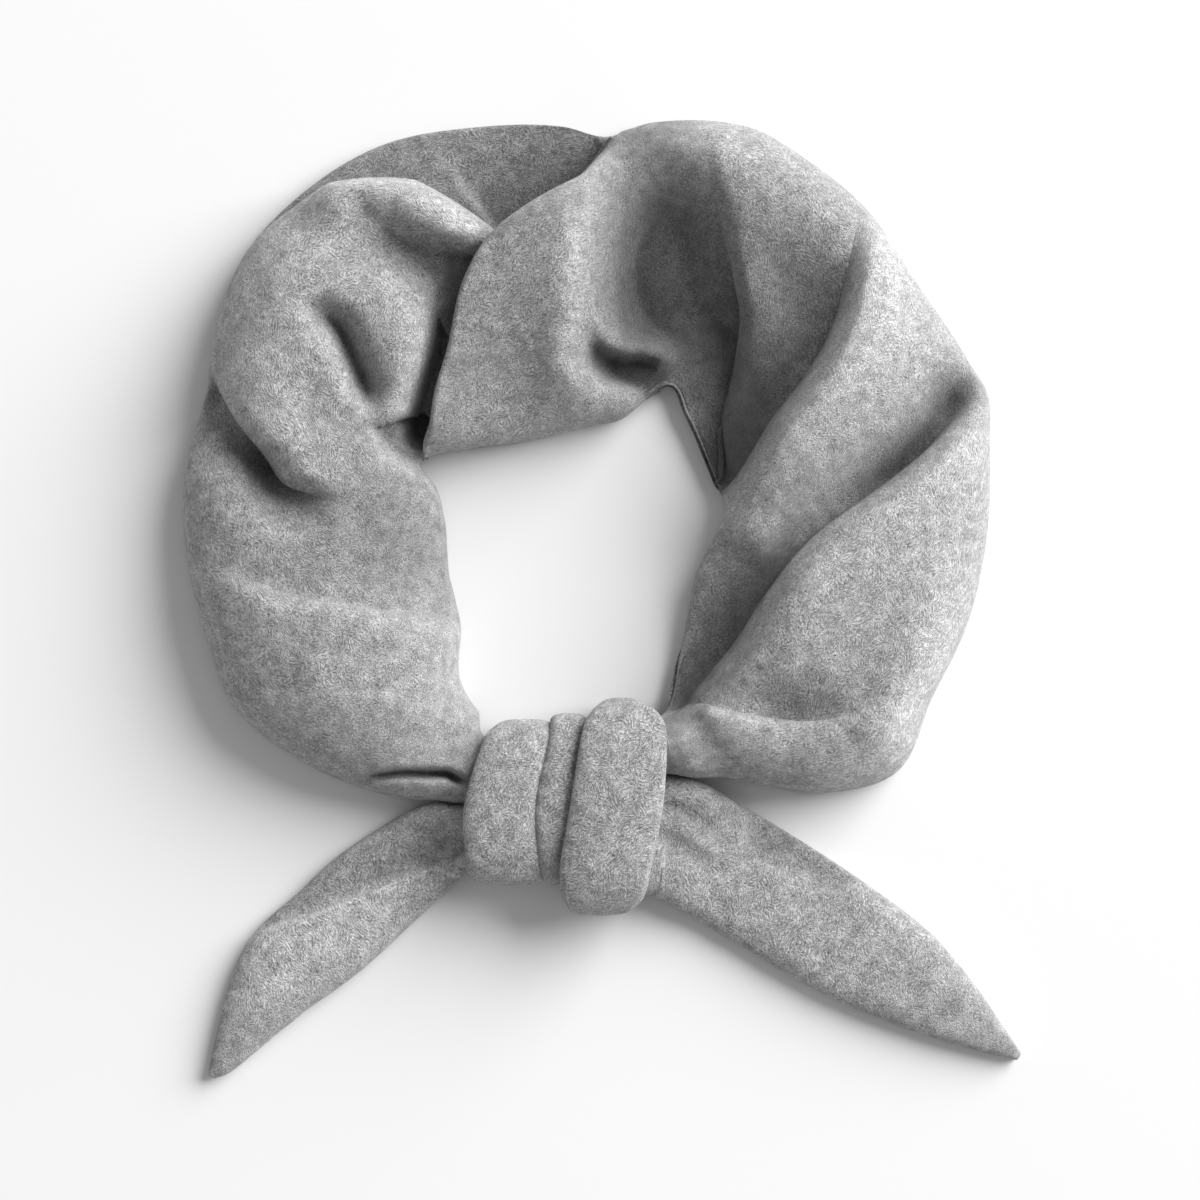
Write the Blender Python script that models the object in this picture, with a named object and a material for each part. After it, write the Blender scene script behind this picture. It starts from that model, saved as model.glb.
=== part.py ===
"""Neckerchief of brushed wool: a rolled band closed in a loop by one knot, with two free tails.

It lies on its back. Seen from above, +X is to the right and +Y leads away from the knot. Metres.
Each piece is a wall of cloth: the band and the tails are sheets with both edges turned under, and
the knot is three wound turns that the gathered band and the roots of the tails pass through.
"""

import math
from typing import NamedTuple

import bmesh
import bpy
from mathutils import Vector

# Driving sizes of the band
NECK_RADIUS = 0.052
BAND_WIDTH = 0.100
BAND_HEIGHT = 0.030
CLOTH_WALL = 0.0022
EDGE_ROLL = 0.0065
UNDER_SLIT = 0.008
FOLD_HEIGHT = 0.010
FOLD_ROLL = 0.011

# Driving sizes of the knot
LEFT_TURN_LENGTH = 0.030
MIDDLE_TURN_LENGTH = 0.0095
RIGHT_TURN_LENGTH = 0.034
TURN_WALL = 0.0055
TURN_BULGE = 0.0020
LEFT_STRAND_WIDTH = 0.0245
RIGHT_STRAND_WIDTH = 0.0216
LEFT_HOLLOW_HEIGHT = 0.0205
RIGHT_HOLLOW_HEIGHT = 0.0270
STRAND_FILL = 0.76

# Driving sizes of the tails
LEFT_TAIL_LENGTH = 0.1475
LEFT_TAIL_WIDTH = 0.0375
LEFT_TAIL_ROOT = 0.0228
RIGHT_TAIL_LENGTH = 0.1755
RIGHT_TAIL_WIDTH = 0.0455
RIGHT_TAIL_ROOT = 0.0445
TAIL_HEIGHT = 0.0095
TAIL_WALL = 0.0018

# Clearance between neighbouring pieces of cloth
GAP = 0.0005

# Where the knot sits: distance from the neck's centre to the strands, as shares of NECK_RADIUS
LEFT_REACH = 1.362 * NECK_RADIUS
RIGHT_REACH = 1.210 * NECK_RADIUS
ROOT_LIFT = TURN_WALL + 1.6 * GAP
KNOT_CENTRE_X = -0.0055

# Nominal angles, in degrees, at which the band goes into the knot on its right and on its left
RIGHT_ENTRY = -62.0
LEFT_ENTRY = 246.0
RUN_INSIDE = 13.0

# Most of a section's width and crest that its lower roll may take
MOST_ROLL = 0.3
MOST_RISE = 0.45

# How full the rounded forms are: 2 is an ellipse, and more is squarer
BAND_FULLNESS = 2.3
TAIL_FULLNESS = 2.4
TURN_TOP_FULLNESS = 2.7
TURN_UNDER_FULLNESS = 7.0
TURN_EDGE_FULLNESS = 3.0

# Counts of the meshes
BAND_STATIONS = 58
TOP_ROWS = 20
CORNER_ROWS = 2
UNDER_ROWS = 3
TURN_STEPS = 26
TURN_SIDES = 10
TAIL_STATIONS = 19
TAIL_TOP_ROWS = 7

# Step for reading the direction of a tail's axis, in table rows
AXIS_STEP = 0.05

CLOTH_COLOUR = (0.36, 0.36, 0.358, 1.0)
CLOTH_ROUGHNESS = 0.95


class Station(NamedTuple):
    """One cross-section of the band: inner radius, width and crest as shares of their sizes."""

    angle: float
    inner: float
    width: float
    crest: float


class Fold(NamedTuple):
    """One fold: its line as (angle, share across the band), then its form as shares.

    high is +1 where the raised side lies to the left of the line. rise and drop are shares of
    FOLD_HEIGHT, spread and reach are how far both sides go, as shares of BAND_WIDTH.
    """

    line: tuple
    high: int
    rise: float
    drop: float
    spread: float
    reach: float


class Turn(NamedTuple):
    """One wound turn of the knot, with its sides as (share down, left edge, right edge) rows."""

    top: float
    bottom: float
    hollow_height: float
    centre: float
    length: float
    sides: tuple


class TailStation(NamedTuple):
    """One cross-section of a tail: place as shares of its length, then width, crest and lap."""

    run: float
    drop: float
    width: float
    crest: float
    lap: float


BAND_OUTLINE = (
    Station(-62, 1.37, 0.33, 0.86),
    Station(-56, 1.34, 0.41, 0.88),
    Station(-44, 1.12, 0.74, 0.95),
    Station(-32, 0.99, 0.92, 1.05),
    Station(-20, 0.92, 0.97, 1.10),
    Station(-8, 0.91, 1.02, 1.10),
    Station(4, 0.99, 1.03, 1.05),
    Station(16, 1.12, 1.02, 1.00),
    Station(28, 1.12, 1.03, 1.00),
    Station(40, 1.16, 1.00, 1.00),
    Station(52, 1.24, 1.01, 1.00),
    Station(62, 1.33, 0.96, 1.00),
    Station(70, 0.99, 1.13, 1.00),
    Station(82, 0.87, 1.09, 1.05),
    Station(94, 0.81, 1.13, 1.05),
    Station(106, 0.79, 1.18, 0.95),
    Station(118, 0.81, 1.22, 0.90),
    Station(130, 0.89, 1.18, 0.98),
    Station(142, 1.03, 1.07, 1.06),
    Station(154, 1.22, 0.85, 1.06),
    Station(160, 1.04, 0.92, 1.02),
    Station(172, 0.92, 0.96, 0.98),
    Station(184, 0.89, 0.95, 1.00),
    Station(196, 0.90, 0.93, 1.00),
    Station(208, 0.92, 0.91, 1.00),
    Station(220, 1.00, 0.77, 0.96),
    Station(232, 1.24, 0.54, 0.88),
    Station(240, 1.33, 0.42, 0.78),
    Station(246, 1.37, 0.33, 0.74),
)

# Slant of the band's sections, in degrees from neck side to outer side, as the cloth is twisted:
# (angle, slant) rows
SLANT = ((-75, 0), (-62, 0), (-50, 14), (-15, 60), (15, 56), (40, 34), (70, 10), (95, -44), (118, -62),
         (140, -44), (165, -18), (200, -8), (225, -14), (240, 0), (259, 0))

FOLDS = (
    # Edge of the top sheet, which lies over the left side
    Fold(((86, 0.98), (92, 0.81), (107, 0.65), (124, 0.35), (140, 0.17), (151, 0.03)),
         1, 0.45, 1.0, 0.42, 0.16),
    # Crest of the upper left lobe, with the back layer behind it
    Fold(((128, 0.99), (121, 0.91), (116, 0.85), (112, 0.76), (107, 0.65)), -1, 0.85, 0.9, 0.22, 0.20),
    # Crease between the left lobe and the middle lobe
    Fold(((137, 0.74), (137, 0.62), (140, 0.46), (147, 0.24)), -1, 0.45, 0.85, 0.20, 0.14),
    # Upper left lobe lying over the lower left one
    Fold(((157, 1.0), (163, 0.84), (167, 0.71), (172, 0.50), (173, 0.36)), 1, 0.55, 0.8, 0.22, 0.15),
    # Slit beside the knot, on the left
    Fold(((224, 0.95), (233, 0.77), (243, 0.62)), 1, 0.15, 0.45, 0.12, 0.06),
    # Pocket at the neck side
    Fold(((81, 0.20), (73, 0.19), (64, 0.07)), 1, 0.35, 0.95, 0.14, 0.12),
    # Soft valley from the pocket's upper end to the neck side
    Fold(((70, 0.78), (59, 0.46), (47, 0.24), (24, 0.02)), 1, 0.25, 0.45, 0.20, 0.22),
    # Upper crease on the right
    Fold(((48, 0.90), (42, 0.61), (31, 0.24), (21, 0.03)), 1, 0.45, 0.50, 0.16, 0.13),
    # Long crease on the right, down to the knot
    Fold(((22, 0.97), (15, 0.72), (9, 0.48), (-1, 0.29), (-31, 0.16), (-52, 0.04)),
         1, 0.75, 0.95, 0.34, 0.17),
    # Crest that runs into the knot on the right
    Fold(((-54, 0.08), (-42, 0.43), (-33, 0.68)), -1, 0.35, 0.55, 0.18, 0.14),
)

LEFT_TURN_SIDES = (
    (0.00, 0.02, 0.63),
    (0.12, -0.21, 0.60),
    (0.40, -0.41, 0.47),
    (0.58, -0.47, 0.44),
    (0.80, -0.43, 0.47),
    (1.00, -0.31, 0.58),
)
RIGHT_TURN_SIDES = (
    (0.00, -0.18, 0.26),
    (0.10, -0.37, 0.53),
    (0.40, -0.48, 0.51),
    (0.60, -0.55, 0.45),
    (0.80, -0.62, 0.35),
    (1.00, -0.54, 0.16),
)

LEFT_TAIL = (
    TailStation(0.00, 0.000, 0.61, 1.35, 0.45),
    TailStation(0.12, 0.001, 0.61, 1.35, 0.45),
    TailStation(0.19, 0.006, 0.66, 1.20, 0.45),
    TailStation(0.24, 0.026, 0.84, 1.00, 0.45),
    TailStation(0.40, 0.148, 0.99, 0.95, 0.45),
    TailStation(0.50, 0.240, 0.99, 0.95, 0.44),
    TailStation(0.61, 0.331, 0.94, 0.92, 0.42),
    TailStation(0.68, 0.422, 0.73, 0.85, 0.38),
    TailStation(0.735, 0.509, 0.47, 0.72, 0.32),
    TailStation(0.775, 0.573, 0.27, 0.60, 0.24),
    TailStation(0.80, 0.600, 0.17, 0.50, 0.16),
)
RIGHT_TAIL = (
    TailStation(0.00, 0.000, 0.978, 1.30, 0.45),
    TailStation(0.11, 0.000, 0.978, 1.30, 0.45),
    TailStation(0.16, 0.004, 0.985, 1.10, 0.45),
    TailStation(0.228, 0.045, 0.995, 1.00, 0.45),
    TailStation(0.368, 0.128, 0.99, 0.95, 0.45),
    TailStation(0.513, 0.219, 0.955, 0.95, 0.44),
    TailStation(0.632, 0.291, 0.84, 0.92, 0.42),
    TailStation(0.735, 0.362, 0.60, 0.85, 0.36),
    TailStation(0.815, 0.420, 0.34, 0.70, 0.28),
    TailStation(0.885, 0.468, 0.14, 0.50, 0.16),
)


def smooth(low: float, high: float, value: float) -> float:
    """Ease from 0 to 1 while value goes from low to high."""
    share = min(1.0, max(0.0, (value - low) / (high - low)))
    return share * share * (3.0 - 2.0 * share)


def through(keys: list, values: list, key: float) -> float:
    """Read a smooth curve that passes through the given values."""
    last = len(keys) - 1
    if key <= keys[0]:
        return values[0]
    if key >= keys[last]:
        return values[last]
    k = max(i for i in range(last) if keys[i] <= key)
    slopes = []
    for i in (k, k + 1):
        a, b = max(i - 1, 0), min(i + 1, last)
        slopes.append((values[b] - values[a]) / (keys[b] - keys[a]))
    span = keys[k + 1] - keys[k]
    t = (key - keys[k]) / span
    start = (2 * t ** 3 - 3 * t ** 2 + 1) * values[k] + (t ** 3 - 2 * t ** 2 + t) * span * slopes[0]
    end = (3 * t ** 2 - 2 * t ** 3) * values[k + 1] + (t ** 3 - t ** 2) * span * slopes[1]
    return start + end


def column(rows: tuple, field: int) -> list:
    """Take one column of a table."""
    return [row[field] for row in rows]


def rounded(angle: float, power: float) -> tuple:
    """Cosine and sine of a superellipse, fuller than a circle's where power is over 2."""
    c, s = math.cos(angle), math.sin(angle)
    return math.copysign(abs(c) ** (2 / power), c), math.copysign(abs(s) ** (2 / power), s)


def wool(name: str) -> bpy.types.Material:
    """Give a piece its own material of grey brushed wool."""
    material = bpy.data.materials.new(name)
    material.use_nodes = True
    shader = material.node_tree.nodes["Principled BSDF"]
    shader.inputs["Base Color"].default_value = CLOTH_COLOUR
    shader.inputs["Roughness"].default_value = CLOTH_ROUGHNESS
    shader.inputs["Metallic"].default_value = 0.0
    return material


def add_piece(name: str, bm: bmesh.types.BMesh) -> bpy.types.Object:
    """Turn a finished bmesh into a smooth-shaded object with its own material."""
    mesh = bpy.data.meshes.new(name)
    bm.to_mesh(mesh)
    bm.free()
    mesh.shade_smooth()
    piece = bpy.data.objects.new(name, mesh)
    piece.data.materials.append(wool(name + "_wool"))
    bpy.context.scene.collection.objects.link(piece)
    return piece


def knot_left_face() -> float:
    """X of the left turn's outer face where the left strand goes in."""
    return KNOT_CENTRE_X - GAP - MIDDLE_TURN_LENGTH / 2 - LEFT_TURN_LENGTH


def knot_right_face() -> float:
    """X of the right turn's outer face where the right strand goes in."""
    return KNOT_CENTRE_X + GAP + MIDDLE_TURN_LENGTH / 2 + RIGHT_TURN_LENGTH


def true_angle(angle: float) -> float:
    """Turn a nominal angle into the real one, in radians, so that both ends meet the knot."""
    right = math.atan2(-(RIGHT_REACH + RIGHT_STRAND_WIDTH / 2), knot_right_face())
    left = math.atan2(-(LEFT_REACH + LEFT_STRAND_WIDTH / 2), knot_left_face()) + 2 * math.pi
    share = (angle - RIGHT_ENTRY) / (LEFT_ENTRY - RIGHT_ENTRY)
    return right + share * (left - right)


def band_edges(angle: float) -> tuple:
    """Inner radius and width of the band at a nominal angle."""
    angles = column(BAND_OUTLINE, 0)
    inner = NECK_RADIUS * through(angles, column(BAND_OUTLINE, 1), angle)
    width = BAND_WIDTH * through(angles, column(BAND_OUTLINE, 2), angle)
    down = -math.sin(true_angle(angle))
    if down > 0.5:
        on_left = angle > 90
        reach = LEFT_REACH if on_left else RIGHT_REACH
        strand = LEFT_STRAND_WIDTH if on_left else RIGHT_STRAND_WIDTH
        entry = LEFT_ENTRY if on_left else RIGHT_ENTRY
        # Inside the knot the gathered band runs straight, and before it the outer edge clears the tail
        inside = smooth(-3.5, 2.0, (angle - entry) * (1 if on_left else -1))
        outer = min(inner + width, (reach + strand + 3 * GAP) / down)
        inner += inside * (reach / down - inner)
        outer += inside * ((reach + strand) / down - outer)
        width = outer - inner
    return inner, width


def band_plan(angle: float, share: float) -> Vector:
    """Point of the band's plan at a nominal angle and a share across it."""
    inner, width = band_edges(angle)
    radius = inner + share * width
    turn = true_angle(angle)
    return Vector((radius * math.cos(turn), radius * math.sin(turn)))


def fold_line(fold: Fold, steps: int = 5) -> list:
    """Plan points along a fold, on a smooth curve through its rows."""
    keys = list(range(len(fold.line)))
    angles, shares = column(fold.line, 0), column(fold.line, 1)
    count = steps * keys[-1]
    places = [i / steps for i in range(count + 1)]
    return [band_plan(through(keys, angles, place), through(keys, shares, place)) for place in places]


def beside_line(point: Vector, line: list) -> tuple:
    """Signed distance to a line of plan points, positive on its left, and the share along it."""
    best = (1e9, 0.0)
    last = len(line) - 1
    for i in range(last):
        start, run = line[i], line[i + 1] - line[i]
        share = min(1.0, max(0.0, (point - start).dot(run) / run.length_squared))
        away = point - (start + share * run)
        side = run.x * away.y - run.y * away.x
        distance = math.copysign(away.length, side)
        if abs(distance) < abs(best[0]):
            best = (distance, (i + share) / last)
    return best


def fold_height(point: Vector, fold: Fold, line: list) -> float:
    """Rise or drop that one fold gives to a plan point."""
    distance, along = beside_line(point, line)
    distance *= fold.high
    fade = smooth(0.0, 0.22, along) * smooth(1.0, 0.82, along)
    bottom = -fold.drop * FOLD_HEIGHT
    if distance < 0:
        return fade * bottom * math.exp(-(distance / (fold.reach * BAND_WIDTH)) ** 2)
    wall = min(1.0, distance / FOLD_ROLL)
    raised = bottom + (fold.rise * FOLD_HEIGHT - bottom) * math.sin(0.5 * math.pi * wall)
    beyond = max(0.0, distance - FOLD_ROLL) / (fold.spread * BAND_WIDTH)
    return fade * raised * math.exp(-beyond ** 2)


def section_rows(lap: float, roll: float, top_rows: int, power: float) -> list:
    """Section of a sheet with both edges turned under, as (share across, corner, up) rows.

    corner goes from 0 on the ground to 1 where the lower roll ends, and up from there to 1 at the crest.
    """
    side = [(lap + (roll - lap) * i / UNDER_ROWS, 0.0, 0.0) for i in range(UNDER_ROWS)]
    for i in range(CORNER_ROWS):
        turn = 0.5 * math.pi * i / CORNER_ROWS
        side.append((roll * (1 - math.sin(turn)), 1 - math.cos(turn), 0.0))
    top = []
    for i in range(top_rows + 1):
        across, up = rounded(math.pi * i / top_rows, power)
        top.append(((1 - across) / 2, 1.0, up))
    return side + top + [(1 - share, corner, up) for share, corner, up in reversed(side)]


def sheet_piece(name: str, sections: list, wall: float) -> bpy.types.Object:
    """Make a wall of cloth through sections of points, a row of the grid for each."""
    across, along = len(sections[0]) - 1, len(sections) - 1
    bm = bmesh.new()
    bmesh.ops.create_grid(bm, x_segments=across, y_segments=along, size=1.0)
    for vert in bm.verts:
        i = round((vert.co.x + 1) / 2 * across)
        j = round((vert.co.y + 1) / 2 * along)
        vert.co = sections[j][i]
    bmesh.ops.recalc_face_normals(bm, faces=bm.faces)
    piece = add_piece(name, bm)
    thick = piece.modifiers.new("cloth_wall", "SOLIDIFY")
    thick.thickness = wall
    thick.offset = 0.0
    return piece


def band_angles() -> list:
    """Nominal angles of the band's stations, closer together where it goes into the knot."""
    low, high = RIGHT_ENTRY - RUN_INSIDE, LEFT_ENTRY + RUN_INSIDE
    angles = []
    for i in range(BAND_STATIONS + 1):
        share = i / BAND_STATIONS
        eased = share - 0.055 * math.sin(2 * math.pi * share)
        angles.append(low + eased * (high - low))
    return angles


def band_lift(angle: float) -> float:
    """Height of the band's underside: on the ground outside the knot, on the turn's wall in it."""
    past = max(angle - LEFT_ENTRY, RIGHT_ENTRY - angle)
    return ROOT_LIFT * smooth(-12.0, -3.0, past)


def band_crest(angle: float) -> float:
    """Height of the cloth's middle over its lowest middle, gathered to a strand in the knot."""
    crest = BAND_HEIGHT * through(column(BAND_OUTLINE, 0), column(BAND_OUTLINE, 3), angle)
    hollow = LEFT_HOLLOW_HEIGHT if angle > 90 else RIGHT_HOLLOW_HEIGHT
    past = max(angle - LEFT_ENTRY, RIGHT_ENTRY - angle)
    return crest + smooth(-8.0, 0.0, past) * (STRAND_FILL * hollow - crest) - CLOTH_WALL


def band_point(angle: float, row: tuple, lines: list) -> Vector:
    """Point of the band's cloth, from its nominal angle and its row of the section."""
    share, corner, up = row
    inner, width = band_edges(angle)
    radius = inner + CLOTH_WALL / 2 + share * (width - CLOTH_WALL)
    turn = true_angle(angle)
    point = Vector((radius * math.cos(turn), radius * math.sin(turn)))
    crest = band_crest(angle)
    rise = min(EDGE_ROLL, MOST_RISE * crest)
    height = corner * rise + (crest - rise) * up
    if up > 0:
        past = max(angle - LEFT_ENTRY, RIGHT_ENTRY - angle)
        shift = sum(fold_height(point, fold, line) for fold, line in lines)
        height += shift * smooth(0.0, 0.75, up) * smooth(2.0, -4.0, past)
        height = max(height, min(1.0, 1.6 * up) * (2 * CLOTH_WALL + GAP))
    return Vector((point.x, point.y, band_lift(angle) + CLOTH_WALL / 2 + height))


def make_neck_band() -> bpy.types.Object:
    """Rolled band with its folds, open along the slit between its turned-under edges."""
    lines = [(fold, fold_line(fold)) for fold in FOLDS]
    lap = (1 - UNDER_SLIT / BAND_WIDTH) / 2
    sections = []
    for angle in band_angles():
        slant = through(column(SLANT, 0), column(SLANT, 1), angle)
        roll = min(EDGE_ROLL / band_edges(angle)[1], MOST_ROLL)
        rows = section_rows(lap, roll, TOP_ROWS, BAND_FULLNESS)
        sections.append([band_point(angle + slant * (row[0] - 0.5), row, lines) for row in rows])
    return sheet_piece("neck_band", sections, CLOTH_WALL)


def make_turn(name: str, turn: Turn) -> bpy.types.Object:
    """Wound turn of cloth: a thick sleeve round the strands, fuller on its upper side."""
    downs, lefts, rights = (column(turn.sides, i) for i in range(3))
    half_y = (turn.bottom - turn.top) / 2 + TURN_WALL / 2
    half_z = turn.hollow_height / 2 + TURN_WALL / 2
    middle = Vector((0.0, -(turn.top + turn.bottom) / 2, half_z + TURN_WALL / 2))
    bm = bmesh.new()
    ring = bmesh.ops.create_circle(bm, segments=TURN_SIDES, radius=0.4, cap_ends=False)["verts"]
    for vert in ring:
        vert.co = Vector((vert.co.x, 1.0 + vert.co.y, 0.0))
    bmesh.ops.spin(bm, geom=bm.verts[:] + bm.edges[:], cent=(0, 0, 0), axis=(1, 0, 0),
                   angle=2 * math.pi, steps=TURN_STEPS, use_merge=True, use_duplicate=False)
    for vert in bm.verts:
        around = math.atan2(vert.co.z, vert.co.y)
        section = math.atan2(math.hypot(vert.co.y, vert.co.z) - 1.0, vert.co.x)
        power = TURN_TOP_FULLNESS if around > 0 else TURN_UNDER_FULLNESS
        along, up = rounded(around, power)
        out = Vector((0.0, abs(along) ** (power - 1) * math.copysign(1, along) / half_y,
                      abs(up) ** (power - 1) * math.copysign(1, up) / half_z)).normalized()
        face, thick = rounded(section, TURN_EDGE_FULLNESS)
        down = (1 - along) / 2
        left, right = through(downs, lefts, down), through(downs, rights, down)
        x = turn.centre + turn.length * ((left + right) / 2 + (right - left) / 2 * face)
        offset = TURN_WALL / 2 * thick
        if thick > 0 and around > 0:
            offset += TURN_BULGE * thick * math.sqrt(max(0.0, up))
        vert.co = middle + Vector((x, half_y * along, half_z * up)) + offset * out
    bmesh.ops.recalc_face_normals(bm, faces=bm.faces)
    return add_piece(name, bm)


def tail_sections(stations: tuple, root: Vector, heading: int, length: float, width: float) -> list:
    """Sections along a tail's curved axis, from its root in the knot to its tip."""
    keys = list(range(len(stations)))
    sections = []
    for j in range(TAIL_STATIONS + 1):
        key = keys[-1] * j / TAIL_STATIONS
        near = (max(key - AXIS_STEP, 0.0), key, min(key + AXIS_STEP, keys[-1]))
        behind, place, ahead = ([through(keys, column(stations, field), k) for field in (0, 1)] for k in near)
        step = Vector(((ahead[0] - behind[0]) * heading, behind[1] - ahead[1]))
        side = Vector((-step.y, step.x)).normalized() * heading
        centre = root + Vector((place[0] * heading, -place[1])) * length
        wide = width * through(keys, column(stations, 2), key) - TAIL_WALL
        crest = TAIL_HEIGHT * through(keys, column(stations, 3), key) - TAIL_WALL
        lap = through(keys, column(stations, 4), key)
        low = TAIL_WALL / 2 + ROOT_LIFT * (1 - smooth(0.17, 0.30, place[0]))
        rise = min(EDGE_ROLL, MOST_RISE * crest)
        rows = []
        roll = min(EDGE_ROLL / wide, MOST_ROLL)
        for share, corner, up in section_rows(lap, roll, TAIL_TOP_ROWS, TAIL_FULLNESS):
            point = centre + side * wide * (0.5 - share)
            rows.append(Vector((point.x, point.y, low + corner * rise + (crest - rise) * up)))
        sections.append(rows)
    return sections


def side_at(turn: Turn, field: int, depth: float) -> float:
    """X of one side of a turn at a distance from the neck's centre."""
    down = (depth - turn.top) / (turn.bottom - turn.top)
    return turn.centre + turn.length * through(column(turn.sides, 0), column(turn.sides, field), down)


def between(left: Turn, right: Turn) -> Turn:
    """Turn that fills what the two turns beside it leave free."""
    top, bottom = (left.top + right.top) / 2, left.bottom
    sides = []
    for row in LEFT_TURN_SIDES:
        depth = top + row[0] * (bottom - top)
        low, high = side_at(left, 2, depth) + GAP, side_at(right, 1, depth) - GAP
        sides.append((row[0], *((x - KNOT_CENTRE_X) / MIDDLE_TURN_LENGTH for x in (low, high))))
    return Turn(top, bottom, left.hollow_height, KNOT_CENTRE_X, MIDDLE_TURN_LENGTH, tuple(sides))


def make_knot() -> None:
    """Three turns side by side, each round the strand and the root of the tail on its side."""
    left_bottom = LEFT_REACH + LEFT_STRAND_WIDTH + LEFT_TAIL_ROOT + 2 * GAP
    right_bottom = RIGHT_REACH + RIGHT_STRAND_WIDTH + RIGHT_TAIL_ROOT + 2 * GAP
    reach = MIDDLE_TURN_LENGTH / 2 + GAP
    left = Turn(LEFT_REACH - GAP, left_bottom, LEFT_HOLLOW_HEIGHT,
                KNOT_CENTRE_X - reach - LEFT_TURN_LENGTH / 2, LEFT_TURN_LENGTH, LEFT_TURN_SIDES)
    right = Turn(RIGHT_REACH - GAP, right_bottom, RIGHT_HOLLOW_HEIGHT,
                 KNOT_CENTRE_X + reach + RIGHT_TURN_LENGTH / 2, RIGHT_TURN_LENGTH, RIGHT_TURN_SIDES)
    make_turn("knot_left_turn", left)
    make_turn("knot_middle_turn", between(left, right))
    make_turn("knot_right_turn", right)


def make_tails() -> None:
    """Two free ends, whose roots lie in the knot below the strands."""
    left_root = Vector((knot_left_face() + 0.85 * LEFT_TURN_LENGTH,
                        -(LEFT_REACH + LEFT_STRAND_WIDTH + GAP + LEFT_TAIL_ROOT / 2)))
    right_root = Vector((knot_right_face() - 0.7 * RIGHT_TURN_LENGTH,
                         -(RIGHT_REACH + RIGHT_STRAND_WIDTH + GAP + RIGHT_TAIL_ROOT / 2)))
    left = tail_sections(LEFT_TAIL, left_root, -1, LEFT_TAIL_LENGTH, LEFT_TAIL_WIDTH)
    right = tail_sections(RIGHT_TAIL, right_root, 1, RIGHT_TAIL_LENGTH, RIGHT_TAIL_WIDTH)
    sheet_piece("left_tail", left, TAIL_WALL)
    sheet_piece("right_tail", right, TAIL_WALL)


def centre_on_ground() -> None:
    """Move every piece so that the middle of the whole box's underside is the origin."""
    graph = bpy.context.evaluated_depsgraph_get()
    pieces = list(bpy.context.scene.objects)
    points = []
    for piece in pieces:
        shape = piece.evaluated_get(graph)
        points += [vert.co.copy() for vert in shape.data.vertices]
    low = [min(point[i] for point in points) for i in range(3)]
    high = [max(point[i] for point in points) for i in range(3)]
    middle = Vector(((low[0] + high[0]) / 2, (low[1] + high[1]) / 2, low[2]))
    for piece in pieces:
        piece.location = -middle


def main() -> None:
    """Clear the scene and build the neckerchief."""
    for item in list(bpy.data.objects):
        bpy.data.objects.remove(item, do_unlink=True)
    make_neck_band()
    make_knot()
    make_tails()
    centre_on_ground()


main()
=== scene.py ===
"""Looks of a grey brushed-wool neckerchief that lies on a white table, tied in a loop.

The band is made of three lengths of cloth that overlap as the real one does: the front sheet, the left
lobes that go under it, and the back ply behind both. The knot is three wound turns, and two tails leave it.
Lengths are in metres, angles in degrees. The cloth is worked out round the neck's centre and then moved to
its place in the frame. Seen from above, +X is to the right and +Y leads away from the knot.
"""

import logging
import math
from dataclasses import dataclass, field
from enum import Enum

import bmesh
import bpy
import numpy as np
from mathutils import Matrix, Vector

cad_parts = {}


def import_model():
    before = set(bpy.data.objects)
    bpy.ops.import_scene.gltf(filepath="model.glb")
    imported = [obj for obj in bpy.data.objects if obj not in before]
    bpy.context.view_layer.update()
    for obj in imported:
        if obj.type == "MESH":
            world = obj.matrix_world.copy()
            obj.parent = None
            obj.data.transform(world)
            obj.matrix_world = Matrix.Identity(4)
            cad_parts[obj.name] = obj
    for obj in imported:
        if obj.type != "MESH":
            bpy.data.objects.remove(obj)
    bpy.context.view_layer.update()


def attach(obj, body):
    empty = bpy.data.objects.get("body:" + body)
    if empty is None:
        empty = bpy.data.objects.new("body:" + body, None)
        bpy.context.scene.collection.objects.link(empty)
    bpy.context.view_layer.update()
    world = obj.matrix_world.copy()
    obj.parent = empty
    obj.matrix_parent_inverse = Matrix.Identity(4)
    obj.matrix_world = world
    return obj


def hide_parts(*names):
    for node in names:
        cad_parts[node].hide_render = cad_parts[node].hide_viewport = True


logging.basicConfig(level=logging.INFO, format="%(name)s: %(message)s")
LOG = logging.getLogger("neckerchief")

BODY = "root"

# Point attribute of painted light: painted shade below 0 in hollows and folds, painted highlight above 0 on
# crests
PAINTED_LIGHT_ATTRIBUTE = "nap"

# Middle of the neck opening, in the frame
NECK_CENTRE = (-0.01265, 0.02135)

# Width of ground that the picture shows, its middle, and the height at which that width is true
PICTURE_WIDTH = 0.4434
PICTURE_MIDDLE = (-0.0023, 0.001)
PICTURE_LEVEL = 0.012

Rows = tuple[tuple[float, ...], ...]


class Toward(Enum):
    """Side of a line on which the cloth is raised, going from the line's first row to its last."""

    LEFT = 1
    RIGHT = -1


class Slot(Enum):
    """The record's material slots."""

    BAND = "wool_band"
    KNOT = "wool_knot"
    TAIL = "wool_tail"


def ease(low: float, high: float, value: np.ndarray) -> np.ndarray:
    """Go from 0 to 1, with soft ends, while value goes from low to high.

    Args:
        low: Value at which the result is 0.
        high: Value at which the result is 1.
        value: Numbers to map.

    Returns:
        The eased shares.
    """
    share = np.clip((value - low) / (high - low), 0.0, 1.0)
    return share * share * (3.0 - 2.0 * share)


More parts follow.
